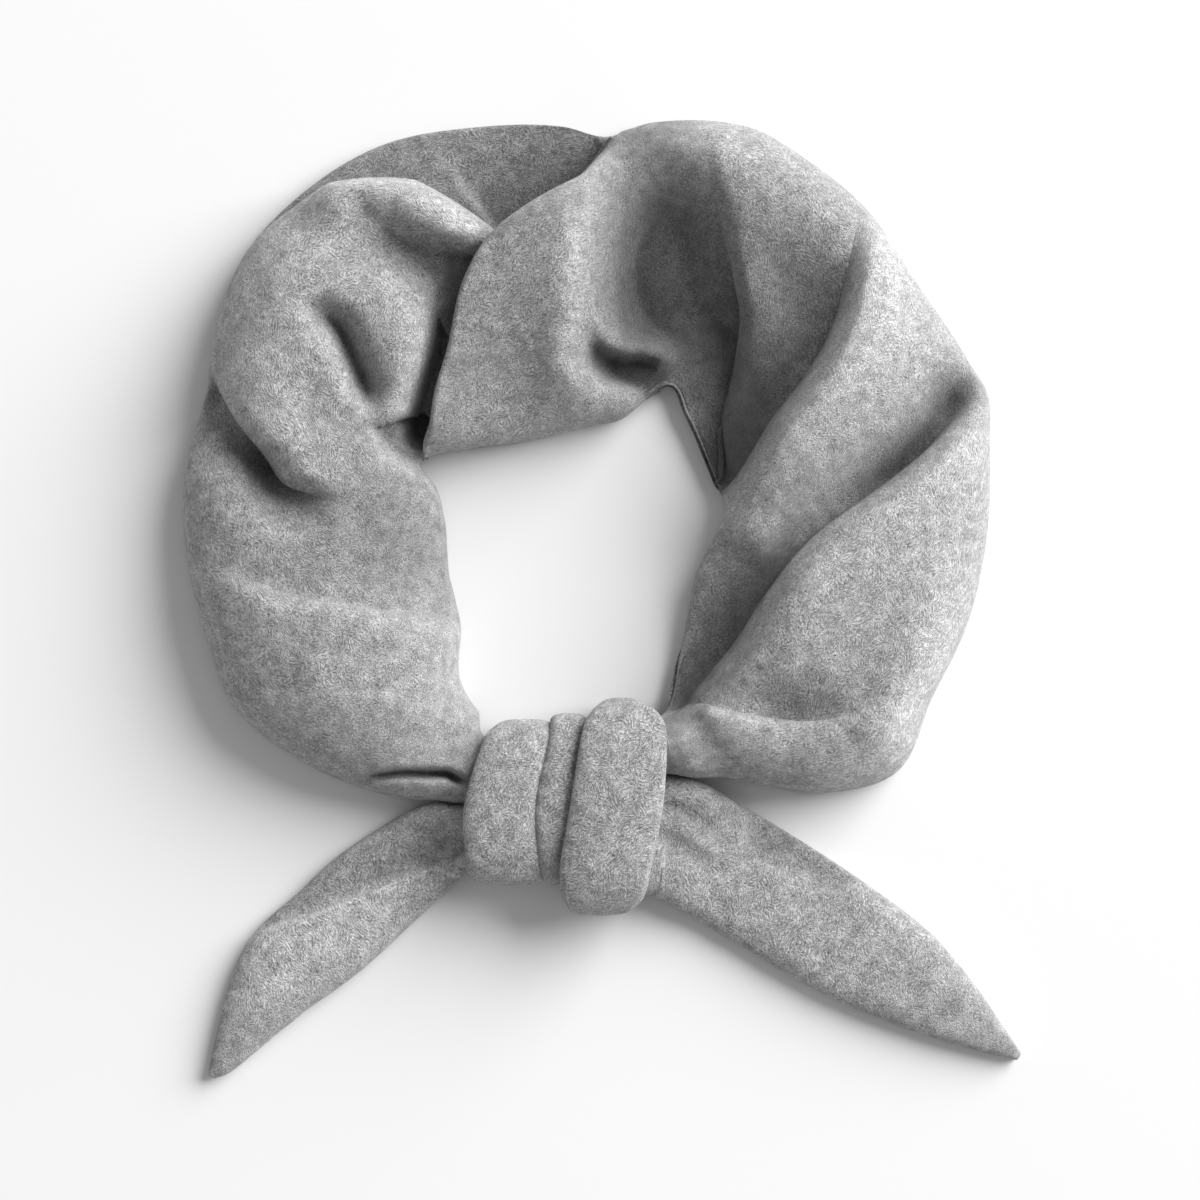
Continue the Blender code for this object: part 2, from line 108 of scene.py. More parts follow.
@dataclass(frozen=True)
class Curve:
    """A smooth curve through (key, value) rows, held level past both ends."""

    rows: Rows

    def __call__(self, key: np.ndarray) -> np.ndarray:
        """Read the curve.

        Args:
            key: Numbers at which to read it.

        Returns:
            The values there.
        """
        keys, values = np.array(self.rows, float).T[:2]
        last = len(keys) - 1
        before, after = np.maximum(np.arange(last + 1) - 1, 0), np.minimum(np.arange(last + 1) + 1, last)
        slopes = (values[after] - values[before]) / (keys[after] - keys[before])
        key = np.clip(key, keys[0], keys[-1])
        k = np.clip(np.searchsorted(keys, key, side="right") - 1, 0, last - 1)
        span = keys[k + 1] - keys[k]
        t = (key - keys[k]) / span
        start = (2 * t ** 3 - 3 * t ** 2 + 1) * values[k] + (t ** 3 - 2 * t ** 2 + t) * span * slopes[k]
        end = (3 * t ** 2 - 2 * t ** 3) * values[k + 1] + (t ** 3 - t ** 2) * span * slopes[k + 1]
        return start + end


def column(rows: Rows, value: int) -> Curve:
    """Make a curve from a table's first column to another one."""
    return Curve(tuple((row[0], row[value]) for row in rows))


def by_number(rows: Rows, number: np.ndarray) -> list[np.ndarray]:
    """Read every column of a table on a smooth curve over the rows' numbers."""
    return [Curve(tuple(enumerate(values)))(number) for values in zip(*rows)]


@dataclass(frozen=True)
class Knot:
    """Sizes of the knot, and of the strands and roots that run through it."""

    centre_x: float = -0.0055
    gap: float = 0.0005
    wall: float = 0.0055
    bulge: float = 0.002
    left_length: float = 0.03
    middle_length: float = 0.0095
    right_length: float = 0.034
    left_strand: float = 0.0245
    right_strand: float = 0.0216
    left_hollow: float = 0.0205
    right_hollow: float = 0.027
    left_root: float = 0.0228
    right_root: float = 0.0445
    strand_fill: float = 0.9
    left_reach: float = 0.07082
    right_reach: float = 0.06292

    @property
    def left_face(self) -> float:
        """X of the face at which the left strand goes in."""
        return self.centre_x - self.gap - self.middle_length / 2 - self.left_length

    @property
    def right_face(self) -> float:
        """X of the face at which the right strand goes in."""
        return self.centre_x + self.gap + self.middle_length / 2 + self.right_length

    @property
    def root_lift(self) -> float:
        """Height of what runs through the knot, over its lower wall."""
        return self.wall + 1.6 * self.gap


@dataclass(frozen=True)
class BandPlan:
    """Outline of the band, seen from above, as (angle, inner radius, width, crest) shares.

    gathers, rises and straightens are the degrees past a face of the knot over which the band narrows
    to a strand, climbs on to the turn's wall and runs straight. Outside them its width may be more than
    the strand's, by spare_rate for each degree beyond spare_from.
    """

    knot: Knot = field(default_factory=Knot)
    neck_radius: float = 0.052
    width: float = 0.1
    height: float = 0.04
    right_entry: float = -62.0
    left_entry: float = 246.0
    gathers: tuple[float, float] = (-15.0, 0.0)
    rises: tuple[float, float] = (-12.0, -3.0)
    straightens: tuple[float, float] = (-3.5, 2.0)
    spare_from: float = 9.0
    spare_rate: float = 0.0009
    outline: Rows = (
        (-62, 1.37, 0.33, 0.62), (-56, 1.34, 0.41, 0.68), (-44, 1.12, 0.68, 0.8), (-32, 0.99, 0.95, 0.92),
        (-20, 0.92, 0.97, 1.01), (-8, 0.91, 1.02, 1.05), (4, 0.99, 1.02, 1.02), (16, 1.12, 1.005, 1.0),
        (23, 1.12, 1.055, 1.0), (28, 1.12, 1.035, 1.0), (40, 1.16, 1.0, 1.0), (52, 1.24, 1.01, 1.0),
        (62, 1.33, 0.98, 1.0), (70, 0.99, 1.165, 1.0), (82, 0.87, 1.14, 1.05), (88, 0.835, 1.085, 1.05),
        (94, 0.81, 1.13, 1.05), (106, 0.79, 1.18, 0.98), (118, 0.81, 1.22, 0.95), (130, 0.89, 1.18, 0.98),
        (142, 1.03, 1.08, 1.04), (154, 1.22, 0.885, 1.04), (160, 1.04, 0.925, 1.02), (172, 0.92, 0.98, 0.98),
        (184, 0.89, 0.965, 1.0), (196, 0.9, 0.93, 1.0),
        (208, 0.92, 0.91, 1.0), (220, 1.0, 0.77, 0.96), (232, 1.24, 0.54, 0.88), (240, 1.33, 0.42, 0.78),
        (246, 1.37, 0.33, 0.74),
    )

    def true_angle(self, angle: np.ndarray) -> np.ndarray:
        """Turn nominal angles into real ones, in radians, so that both ends meet the knot."""
        knot = self.knot
        right = math.atan2(-(knot.right_reach + knot.right_strand / 2), knot.right_face)
        left = math.atan2(-(knot.left_reach + knot.left_strand / 2), knot.left_face) + 2 * math.pi
        return right + (angle - self.right_entry) / (self.left_entry - self.right_entry) * (left - right)

    def past_entry(self, angle: np.ndarray) -> np.ndarray:
        """Say how many degrees an angle lies past the nearer face of the knot."""
        return np.maximum(angle - self.left_entry, self.right_entry - angle)

    def edges(self, angle: np.ndarray) -> tuple[np.ndarray, np.ndarray]:
        """Inner radius and width at nominal angles.

        Args:
            angle: Nominal angles, in degrees.

        Returns:
            Inner radii and widths, in metres.
        """
        knot = self.knot
        inner = self.neck_radius * column(self.outline, 1)(angle)
        width = self.width * column(self.outline, 2)(angle)
        down = -np.sin(self.true_angle(angle))
        near = down > 0.5
        down = np.where(near, down, 1.0)
        on_left = angle > 90
        reach = np.where(on_left, knot.left_reach, knot.right_reach)
        strand = np.where(on_left, knot.left_strand, knot.right_strand)
        inside = ease(*self.straightens, self.past_entry(angle))
        spare = self.spare_rate * np.maximum(0.0, -self.past_entry(angle) - self.spare_from)
        outer = np.minimum(inner + width, (reach + strand + 3 * knot.gap) / down + spare)
        straight_inner = inner + inside * (reach / down - inner)
        straight_outer = outer + inside * ((reach + strand) / down - outer)
        inner, width = (np.where(near, straight_inner, inner),
                        np.where(near, straight_outer - straight_inner, width))
        return inner, width

    def place(self, angle: np.ndarray, share: np.ndarray) -> tuple[np.ndarray, np.ndarray]:
        """Plan position of nominal angles and shares across the band, from the neck side."""
        inner, width = self.edges(angle)
        radius = inner + share * width
        turn = self.true_angle(angle)
        return radius * np.cos(turn), radius * np.sin(turn)

    def crest(self, angle: np.ndarray) -> np.ndarray:
        """Height of the band's top, gathered to a strand in the knot."""
        knot = self.knot
        crest = self.height * column(self.outline, 3)(angle)
        hollow = np.where(angle > 90, knot.left_hollow, knot.right_hollow)
        return crest + ease(*self.gathers, self.past_entry(angle)) * (knot.strand_fill * hollow - crest)

    def lift(self, angle: np.ndarray) -> np.ndarray:
        """Height of the band's underside, which lies on the turn's wall in the knot."""
        return self.knot.root_lift * ease(*self.rises, self.past_entry(angle))


@dataclass(frozen=True)
class Line:
    """A line over the band as (angle, share across) rows, on a smooth curve through them."""

    rows: Rows

    def points(self, plan: BandPlan, steps: int = 8) -> np.ndarray:
        """Plan points along the line.

        Args:
            plan: The band's outline.
            steps: Points for each row.

        Returns:
            Points, one a row.
        """
        return np.stack(plan.place(*self.traced(steps)), axis=1)

    def traced(self, steps: int) -> list[np.ndarray]:
        """Values of both columns along the line, with steps of them for each row."""
        last = len(self.rows) - 1
        return by_number(self.rows, np.linspace(0.0, last, steps * last + 1))

    def beside(self, plan: BandPlan, x: np.ndarray, y: np.ndarray) -> tuple[np.ndarray, ...]:
        """Find where places lie beside the line.

        Args:
            plan: The band's outline.
            x: Plan positions across.
            y: Plan positions up.

        Returns:
            Signed distance, positive on the left, share along, and the left-hand normal's two parts.
        """
        points = self.points(plan)
        best = np.full(x.shape, 1e9)
        along, normal_x, normal_y = np.zeros(x.shape), np.zeros(x.shape), np.zeros(x.shape)
        spans = np.hypot(*np.diff(points, axis=0).T)
        whole, before = max(float(spans.sum()), 1e-9), 0.0
        for i in range(len(points) - 1):
            start, run = points[i], points[i + 1] - points[i]
            length = max(float(np.hypot(*run)), 1e-9)
            share = np.clip(((x - start[0]) * run[0] + (y - start[1]) * run[1]) / length ** 2, 0, 1)
            away_x, away_y = x - start[0] - share * run[0], y - start[1] - share * run[1]
            distance = np.hypot(away_x, away_y)
            side = np.sign(run[0] * away_y - run[1] * away_x)
            nearer = distance < np.abs(best)
            best = np.where(nearer, distance * np.where(side == 0, 1, side), best)
            along = np.where(nearer, (before + share * length) / whole, along)
            normal_x = np.where(nearer, -run[1] / length, normal_x)
            normal_y = np.where(nearer, run[0] / length, normal_y)
            before += length
        return best, along, normal_x, normal_y


@dataclass(frozen=True)
class Route(Line):
    """A line whose rows are plan positions in metres from the neck's centre."""

    def points(self, plan: BandPlan, steps: int = 8) -> np.ndarray:
        """Plan points along the route, with steps of them for each row."""
        return np.stack(self.traced(steps), axis=1)


@dataclass(frozen=True)
class Fold:
    """One fold: a rolled edge of raised cloth, with lower cloth beside it.

    rise and drop are the heights of both sides at the edge, spread and reach how far each goes on,
    roll the edge's radius, lean how far the low cloth runs under the edge, and come and go the shares
    of the line over which the fold appears and fades. soft turns the edge from rolled to sloped, and
    the last two fields paint shade into the colour at the fold's foot and a highlight on the roll.
    """

    line: Line
    high: Toward
    rise: float
    drop: float
    spread: float
    reach: float
    roll: float = 0.005
    lean: float = 0.0015
    come: float = 0.15
    go: float = 0.15
    soft: float = 0.0
    tone_and_painted_light: float = 0.0
    shine: float = 0.0

    def shape(self, plan: BandPlan, x: np.ndarray, y: np.ndarray) -> tuple[np.ndarray, ...]:
        """Work out what the fold adds at plan positions.

        Args:
            plan: The band's outline.
            x: Plan positions across.
            y: Plan positions up.

        Returns:
            Height to add, the two parts of a sideways move, and the painted light: shade below 0, highlight
            above 0.
        """
        distance, along, normal_x, normal_y = self.line.beside(plan, x, y)
        distance = distance * self.high.value
        fade = ease(0.0, self.come, along) * ease(1.0, 1.0 - self.go, along)
        low = -self.drop * np.exp(-(np.minimum(distance, 0.0) / self.reach) ** 2)
        wall = np.clip(distance / self.roll, 0.0, 1.0)
        soft = 1.0 - (1.0 - self.soft) * fade
        up = (1.0 - soft) * np.sqrt(1.0 - (1.0 - wall) ** 2) + soft * ease(0.0, 1.0, wall)
        beyond = np.maximum(0.0, distance - self.roll) / self.spread
        raised = (-self.drop + (self.rise + self.drop) * up) * np.exp(-beyond ** 2)
        height = fade * np.where(distance < 0, low, raised)
        tucked = np.where(distance < 0, ease(-0.004, 0.0, distance), ease(0.45, 0.0, up))
        move = self.lean * fade * tucked * self.high.value
        # Painted shade at the fold's foot and up its wall, and a painted highlight along the top of the roll.
        painted_foot_shade = np.where(distance < 0, np.exp(-(distance / (0.5 * self.reach)) ** 2), 1.0 - up)
        top = np.exp(-((distance - self.roll) / (0.6 * self.roll + 0.003)) ** 2)
        return height, move * normal_x, move * normal_y, fade * (self.tone_and_painted_light * painted_foot_shade + self.shine * top)


@dataclass(frozen=True)
class Ridge:
    """A soft ridge or, with a height below 0, a valley.

    left and right are its widths on both sides, come and go the shares of the line over which it
    appears and fades, and the last field paints shade into the colour along it when below 0, and a highlight
    when above 0.
    """

    line: Line
    height: float
    left: float
    right: float
    power: float = 2.0
    come: float = 0.25
    go: float = 0.25
    tone_and_painted_light: float = 0.0

    def shape(self, plan: BandPlan, x: np.ndarray, y: np.ndarray) -> tuple[np.ndarray, ...]:
        """Work out what the ridge adds at plan positions, with no sideways move, and the light painted along
        it.
        """
        distance, along, _, _ = self.line.beside(plan, x, y)
        fade = ease(0.0, self.come, along) * ease(1.0, 1.0 - self.go, along)
        width = np.where(distance > 0, self.left, self.right)
        share = fade * np.exp(-(np.abs(distance) / width) ** self.power)
        return self.height * share, np.zeros(x.shape), np.zeros(x.shape), self.tone_and_painted_light * share


@dataclass(frozen=True)
class Dish:
    """A rounded hollow or, with a depth below 0, a swelling, at an angle and a share across.

    stretch makes it longer in the direction of turn, and the last field paints shade into the colour in it
    when below 0, and a highlight when above 0.
    """

    angle: float
    share: float
    depth: float
    radius: float
    stretch: float = 1.0
    turn: float = 0.0
    tone_and_painted_light: float = 0.0

    def shape(self, plan: BandPlan, x: np.ndarray, y: np.ndarray) -> tuple[np.ndarray, ...]:
        """Work out what the dish takes away at plan positions, with no sideways move, and the light painted
        in it.
        """
        centre_x, centre_y = plan.place(np.array(self.angle), np.array(self.share))
        turn = math.radians(self.turn)
        along = (x - centre_x) * math.cos(turn) + (y - centre_y) * math.sin(turn)
        across = (y - centre_y) * math.cos(turn) - (x - centre_x) * math.sin(turn)
        share = np.exp(-(along / (self.radius * self.stretch)) ** 2 - (across / self.radius) ** 2)
        return -self.depth * share, np.zeros(x.shape), np.zeros(x.shape), self.tone_and_painted_light * share


def ripple(x: np.ndarray, y: np.ndarray, pitch: float, seed: int) -> np.ndarray:
    """Gentle uneven waves, the same on every run.

    Args:
        x: Positions across.
        y: Positions up.
        pitch: Typical distance between crests.
        seed: Number that picks the waves.

    Returns:
        Heights between about -1 and 1.
    """
    rng = np.random.default_rng(seed)
    total = np.zeros(np.broadcast(x, y).shape)
    waves = 9
    for _ in range(waves):
        turn, phase = rng.uniform(0, 2 * math.pi, 2)
        rate = 2 * math.pi / pitch * rng.uniform(0.6, 1.6)
        bend = 0.6 * np.sin(0.37 * rate * (x * math.sin(turn) - y * math.cos(turn)) + phase * 1.7)
        total += np.sin(rate * (x * math.cos(turn) + y * math.sin(turn)) + phase + bend)
    return total / math.sqrt(waves)


@dataclass(frozen=True)
class Wool:
    """Heathered brushed wool: its greys, the size of its tufts, and how strongly it takes painted shade in
    hollows and a painted highlight on crests.
    """

    name: str
    dark: tuple[float, float, float] = (0.115, 0.115, 0.114)
    middle: tuple[float, float, float] = (0.35, 0.35, 0.348)
    light: tuple[float, float, float] = (0.76, 0.762, 0.76)
    tuft: float = 0.0015
    tuft_width: float = 0.00052
    grain: float = 0.00045
    mottle: float = 0.0045
    relief: float = 0.0009
    sheen: float = 0.45
    twill: float = 0.04
    hollow_shade: float = 0.55
    crest_shine: float = 0.3

    def material(self) -> bpy.types.Material:
        """Build the material.

        Returns:
            A material that reads the piece's own UV map, in metres of cloth, its object coordinates, and the
            point attribute of painted shade and highlight.
        """
        material = bpy.data.materials.new(self.name)
        material.use_nodes = True
        tree = material.node_tree
        nodes = NodeBench(tree)
        shader = tree.nodes["Principled BSDF"]
        place = nodes.add("ShaderNodeTexCoord")
        warp = nodes.noise(place.outputs["Object"], 1 / 0.012, 2.0, 0.5)
        shift = nodes.vector("MULTIPLY_ADD", warp.outputs["Color"], (0.006,) * 3, place.outputs["UV"])
        pick = nodes.noise(place.outputs["Object"], 1 / 0.005, 2.0, 0.55)
        tufts = []
        for turn in (0.35, 1.45, 2.55):
            laid = nodes.mapping(shift, (0, 0, turn), (1 / self.tuft, 1 / self.tuft_width, 1))
            tufts.append(nodes.noise(laid, 1.0, 3.0, 0.62).outputs["Fac"])
        first = nodes.mix(nodes.step(pick.outputs["Fac"], 0.44, 0.52), tufts[0], tufts[1])
        second = nodes.noise(place.outputs["Object"], 1 / 0.0062, 1.0, 0.5)
        tuft = nodes.mix(nodes.step(second.outputs["Fac"], 0.5, 0.58), first, tufts[2])
        grain = nodes.noise(place.outputs["Object"], 1 / self.grain, 2.0, 0.65).outputs["Fac"]
        mottle = nodes.noise(place.outputs["Object"], 1 / self.mottle, 3.0, 0.6).outputs["Fac"]
        weave = nodes.twill(shift)
        tone_and_painted_light = nodes.blend(((tuft, 1.05), (grain, 0.68), (mottle, 0.42), (weave, self.twill)))
        ramp = nodes.ramp(tone_and_painted_light, ((0.85, self.dark), (1.07, self.middle), (1.31, self.light)))
        # Painted light: the point attribute darkens the heather in hollows and folds as painted shade, and
        # lightens it on crests as a painted highlight.
        painted_light_layer = nodes.add("ShaderNodeAttribute")
        painted_light_layer.attribute_name = PAINTED_LIGHT_ATTRIBUTE
        hollow = nodes.number("MAXIMUM", nodes.number("MULTIPLY", painted_light_layer.outputs["Fac"], -1.0), 0.0)
        crest = nodes.number("MAXIMUM", painted_light_layer.outputs["Fac"], 0.0)
        tone_and_painted_light = nodes.blend(((hollow, -self.hollow_shade), (crest, self.crest_shine), (1.0, 1.0)))
        tree.links.new(nodes.vector("SCALE", ramp.outputs["Color"], tone_and_painted_light), shader.inputs["Base Color"])
        bump = nodes.add("ShaderNodeBump")
        bump.inputs["Strength"].default_value = 1.0
        bump.inputs["Distance"].default_value = self.relief
        height = nodes.blend(((tuft, 1.0), (grain, 0.4), (mottle, 0.7)))
        tree.links.new(height, bump.inputs["Height"])
        tree.links.new(bump.outputs["Normal"], shader.inputs["Normal"])
        shader.inputs["Roughness"].default_value = 1.0
        shader.inputs["Specular IOR Level"].default_value = 0.1
        shader.inputs["Sheen Weight"].default_value = self.sheen
        shader.inputs["Sheen Roughness"].default_value = 0.6
        return material


@dataclass
class NodeBench:
    """Short ways to add shader nodes to a material's tree."""

    tree: bpy.types.NodeTree

    def add(self, kind: str) -> bpy.types.ShaderNode:
        """Add a node of a kind."""
        return self.tree.nodes.new(kind)

    def feed(self, value: object, socket: bpy.types.NodeSocket) -> None:
        """Link an output to a socket, or set the socket to a number or a vector."""
        if isinstance(value, bpy.types.NodeSocket):
            self.tree.links.new(value, socket)
        else:
            socket.default_value = value

    def noise(self, place: bpy.types.NodeSocket, scale: float, detail: float,
              rough: float) -> bpy.types.ShaderNode:
        """Add a noise texture that reads a place."""
        node = self.add("ShaderNodeTexNoise")
        self.feed(place, node.inputs["Vector"])
        node.inputs["Scale"].default_value = scale
        node.inputs["Detail"].default_value = detail
        node.inputs["Roughness"].default_value = rough
        return node

    def vector(self, action: str, *values: object) -> bpy.types.NodeSocket:
        """Add a vector sum and return its output."""
        node = self.add("ShaderNodeVectorMath")
        node.operation = action
        sockets = (node.inputs["Vector"], node.inputs["Scale"]) if action == "SCALE" else node.inputs
        for value, socket in zip(values, sockets):
            self.feed(value, socket)
        return node.outputs[0]

    def number(self, action: str, *values: object) -> bpy.types.NodeSocket:
        """Add a sum and return its output."""
        node = self.add("ShaderNodeMath")
        node.operation = action
        for value, socket in zip(values, node.inputs):
            self.feed(value, socket)
        return node.outputs[0]

    def mapping(self, place: bpy.types.NodeSocket, turn: tuple, scale: tuple) -> bpy.types.NodeSocket:
        """Turn a place and then stretch it."""
        turned = self.add("ShaderNodeMapping")
        self.feed(place, turned.inputs["Vector"])
        turned.inputs["Rotation"].default_value = turn
        stretched = self.add("ShaderNodeMapping")
        self.feed(turned.outputs[0], stretched.inputs["Vector"])
        stretched.inputs["Scale"].default_value = scale
        return stretched.outputs[0]

    def step(self, value: bpy.types.NodeSocket, low: float, high: float) -> bpy.types.NodeSocket:
        """Ease from 0 to 1 while a value goes from low to high."""
        node = self.add("ShaderNodeMapRange")
        node.interpolation_type = "SMOOTHSTEP"
        self.feed(value, node.inputs["Value"])
        node.inputs["From Min"].default_value = low
        node.inputs["From Max"].default_value = high
        return node.outputs[0]

    def mix(self, share: bpy.types.NodeSocket, first: bpy.types.NodeSocket,
            second: bpy.types.NodeSocket) -> bpy.types.NodeSocket:
        """Mix two numbers by a share."""
        node = self.add("ShaderNodeMix")
        for value, socket in zip((share, first, second), (node.inputs[0], node.inputs[2], node.inputs[3])):
            self.feed(value, socket)
        return node.outputs[0]

    def blend(self, parts: tuple) -> bpy.types.NodeSocket:
        """Add numbers up, each with its weight."""
        total = self.number("MULTIPLY", *parts[0])
        for part in parts[1:]:
            total = self.number("MULTIPLY_ADD", *part, total)
        return total

    def twill(self, place: bpy.types.NodeSocket) -> bpy.types.NodeSocket:
        """Fine slanting lines of the weave under the nap."""
        node = self.add("ShaderNodeTexWave")
        self.feed(self.mapping(place, (0, 0, 0.7), (1, 1, 1)), node.inputs["Vector"])
        node.inputs["Scale"].default_value = 300.0
        node.inputs["Distortion"].default_value = 1.5
        return node.outputs["Fac"]

    def ramp(self, value: bpy.types.NodeSocket, stops: tuple) -> bpy.types.ShaderNode:
        """Colour a number by stops that may lie above 1."""
        low, high = stops[0][0], stops[-1][0]
        scaled = self.add("ShaderNodeMapRange")
        self.feed(value, scaled.inputs["Value"])
        scaled.inputs["From Min"].default_value = low
        scaled.inputs["From Max"].default_value = high
        node = self.add("ShaderNodeValToRGB")
        self.feed(scaled.outputs[0], node.inputs["Fac"])
        ramp = node.color_ramp
        while len(ramp.elements) < len(stops):
            ramp.elements.new(0.5)
        for element, (at, colour) in zip(ramp.elements, stops):
            element.position = (at - low) / (high - low)
            element.color = (*colour, 1.0)
        return node


def link(name: str, data: bpy.types.ID) -> bpy.types.Object:
    """Put a mesh, a lamp or a camera into the scene as an object."""
    thing = bpy.data.objects.new(name, data)
    bpy.context.scene.collection.objects.link(thing)
    return thing


def flat_grid(name: str, rows: int, columns: int, size: float) -> bpy.types.Mesh:
    """Make a flat mesh of rows by columns of points, from -size to size both ways."""
    bm = bmesh.new()
    bmesh.ops.create_grid(bm, x_segments=rows - 1, y_segments=columns - 1, size=size)
    mesh = bpy.data.meshes.new(name)
    bm.to_mesh(mesh)
    bm.free()
    return mesh


def cloth_grid(name: str, points: np.ndarray, wool: Wool, nodes: tuple[str, ...],
               wall: float, nap: np.ndarray | None = None) -> bpy.types.Object:
    """Make a sheet of cloth from a table of points, with UVs in metres of cloth.

    Args:
        name: Name of the piece.
        points: Points in the neck's frame, as columns by rows by 3, with outward on the right hand.
        wool: Finish.
        nodes: CAD nodes that the piece stands for.
        wall: Thickness that goes inward, or 0 for none.
        nap: Painted light at each point, from -1 for painted shade in hollows to 1 for a painted highlight on
            crests.

    Returns:
        The piece, riding on its body.
    """
    columns, rows = points.shape[:2]
    along = np.concatenate(([0.0], np.cumsum(np.linalg.norm(np.diff(points, axis=0), axis=2).mean(axis=1))))
    across = np.concatenate(([0.0], np.cumsum(np.linalg.norm(np.diff(points, axis=1), axis=2).mean(axis=0))))
    mesh = flat_grid(name, rows, columns, 1.0)
    flat = np.empty(len(mesh.vertices) * 3)
    mesh.vertices.foreach_get("co", flat)
    flat = flat.reshape(-1, 3)
    i = np.rint((flat[:, 1] + 1) / 2 * (columns - 1)).astype(int)
    j = np.rint((flat[:, 0] + 1) / 2 * (rows - 1)).astype(int)
    placed = points[i, j] + np.array((*NECK_CENTRE, 0.0))
    mesh.vertices.foreach_set("co", placed.ravel())
    uv = mesh.uv_layers.new(name="cloth")
    corners = np.empty(len(mesh.loops), int)
    mesh.loops.foreach_get("vertex_index", corners)
    uv.data.foreach_set("uv", np.stack((along[i], across[j]), axis=1)[corners].ravel())
    # Painted shade and highlight, kept as a point attribute for the material.
    painted_light_layer = mesh.attributes.new(PAINTED_LIGHT_ATTRIBUTE, "FLOAT", "POINT")
    painted_light_layer.data.foreach_set("value", np.zeros(len(mesh.vertices)) if nap is None else nap[i, j])
    mesh.update()
    facing = bmesh.new()
    facing.from_mesh(mesh)
    bmesh.ops.recalc_face_normals(facing, faces=facing.faces)
    facing.faces.ensure_lookup_table()
    top = max(facing.faces, key=lambda face: face.calc_center_median().z)
    if top.normal.z < 0:
        bmesh.ops.reverse_faces(facing, faces=facing.faces)
    facing.to_mesh(mesh)
    facing.free()
    mesh.shade_smooth()
    piece = link(name, mesh)
    piece.data.materials.append(wool.material())
    if wall:
        thick = piece.modifiers.new("wall", "SOLIDIFY")
        thick.thickness = wall
        thick.offset = -1.0
    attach(piece, BODY)
    for node in nodes:
        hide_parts(node)
    LOG.info("%s: %d by %d points, %.0f by %.0f mm of cloth", name, columns, rows,
             1000 * along[-1], 1000 * across[-1])
    return piece


@dataclass(frozen=True)
class Section:
    """Section of cloth with both edges turned under it, from the neck side to the outer side."""

    fullness: float = 2.35
    roll: float = 0.0065
    lap: float = 0.46
    top_rows: int = 112
    corner_rows: int = 6
    lap_rows: int = 4

    def rows(self, wide: float, high: float) -> np.ndarray:
        """Rows spaced evenly over the cloth.

        Args:
            wide: Typical width.
            high: Typical height.

        Returns:
            (share across, corner, up) rows. corner goes from 0 on the ground to 1 where the lower roll
            ends, and up from there to 1 at the crest.
        """
        roll = self.roll / wide
        side = [(self.lap + (roll - self.lap) * i / self.lap_rows, 0.0, 0.0) for i in range(self.lap_rows)]
        for i in range(self.corner_rows):
            turn = 0.5 * math.pi * i / self.corner_rows
            side.append((roll * (1 - math.sin(turn)), 1 - math.cos(turn), 0.0))
        angle = np.linspace(0.0, math.pi, 4000)
        across = (1 - np.sign(np.cos(angle)) * np.abs(np.cos(angle)) ** (2 / self.fullness)) / 2
        up = np.abs(np.sin(angle)) ** (2 / self.fullness)
        steps = np.hypot(np.diff(across) * wide, np.diff(up) * high)
        length = np.concatenate(([0.0], np.cumsum(steps)))
        even = np.linspace(0.0, length[-1], self.top_rows + 1)
        top = np.stack((np.interp(even, length, across), np.ones(self.top_rows + 1),
                        np.interp(even, length, up)), axis=1)
        mirrored = [(1 - share, corner, up) for share, corner, up in reversed(side)]
        return np.concatenate((np.array(side), top, np.array(mirrored)))


@dataclass(frozen=True)
class Guide:
    """A line across the band that columns of the mesh follow, as (share, angle) rows.

    columns is how many there are up to the next guide, and crowd their spacing here as a share of the
    average, so that a fold's edge gets close columns.
    """

    rows: Rows
    columns: int
    crowd: float = 1.0


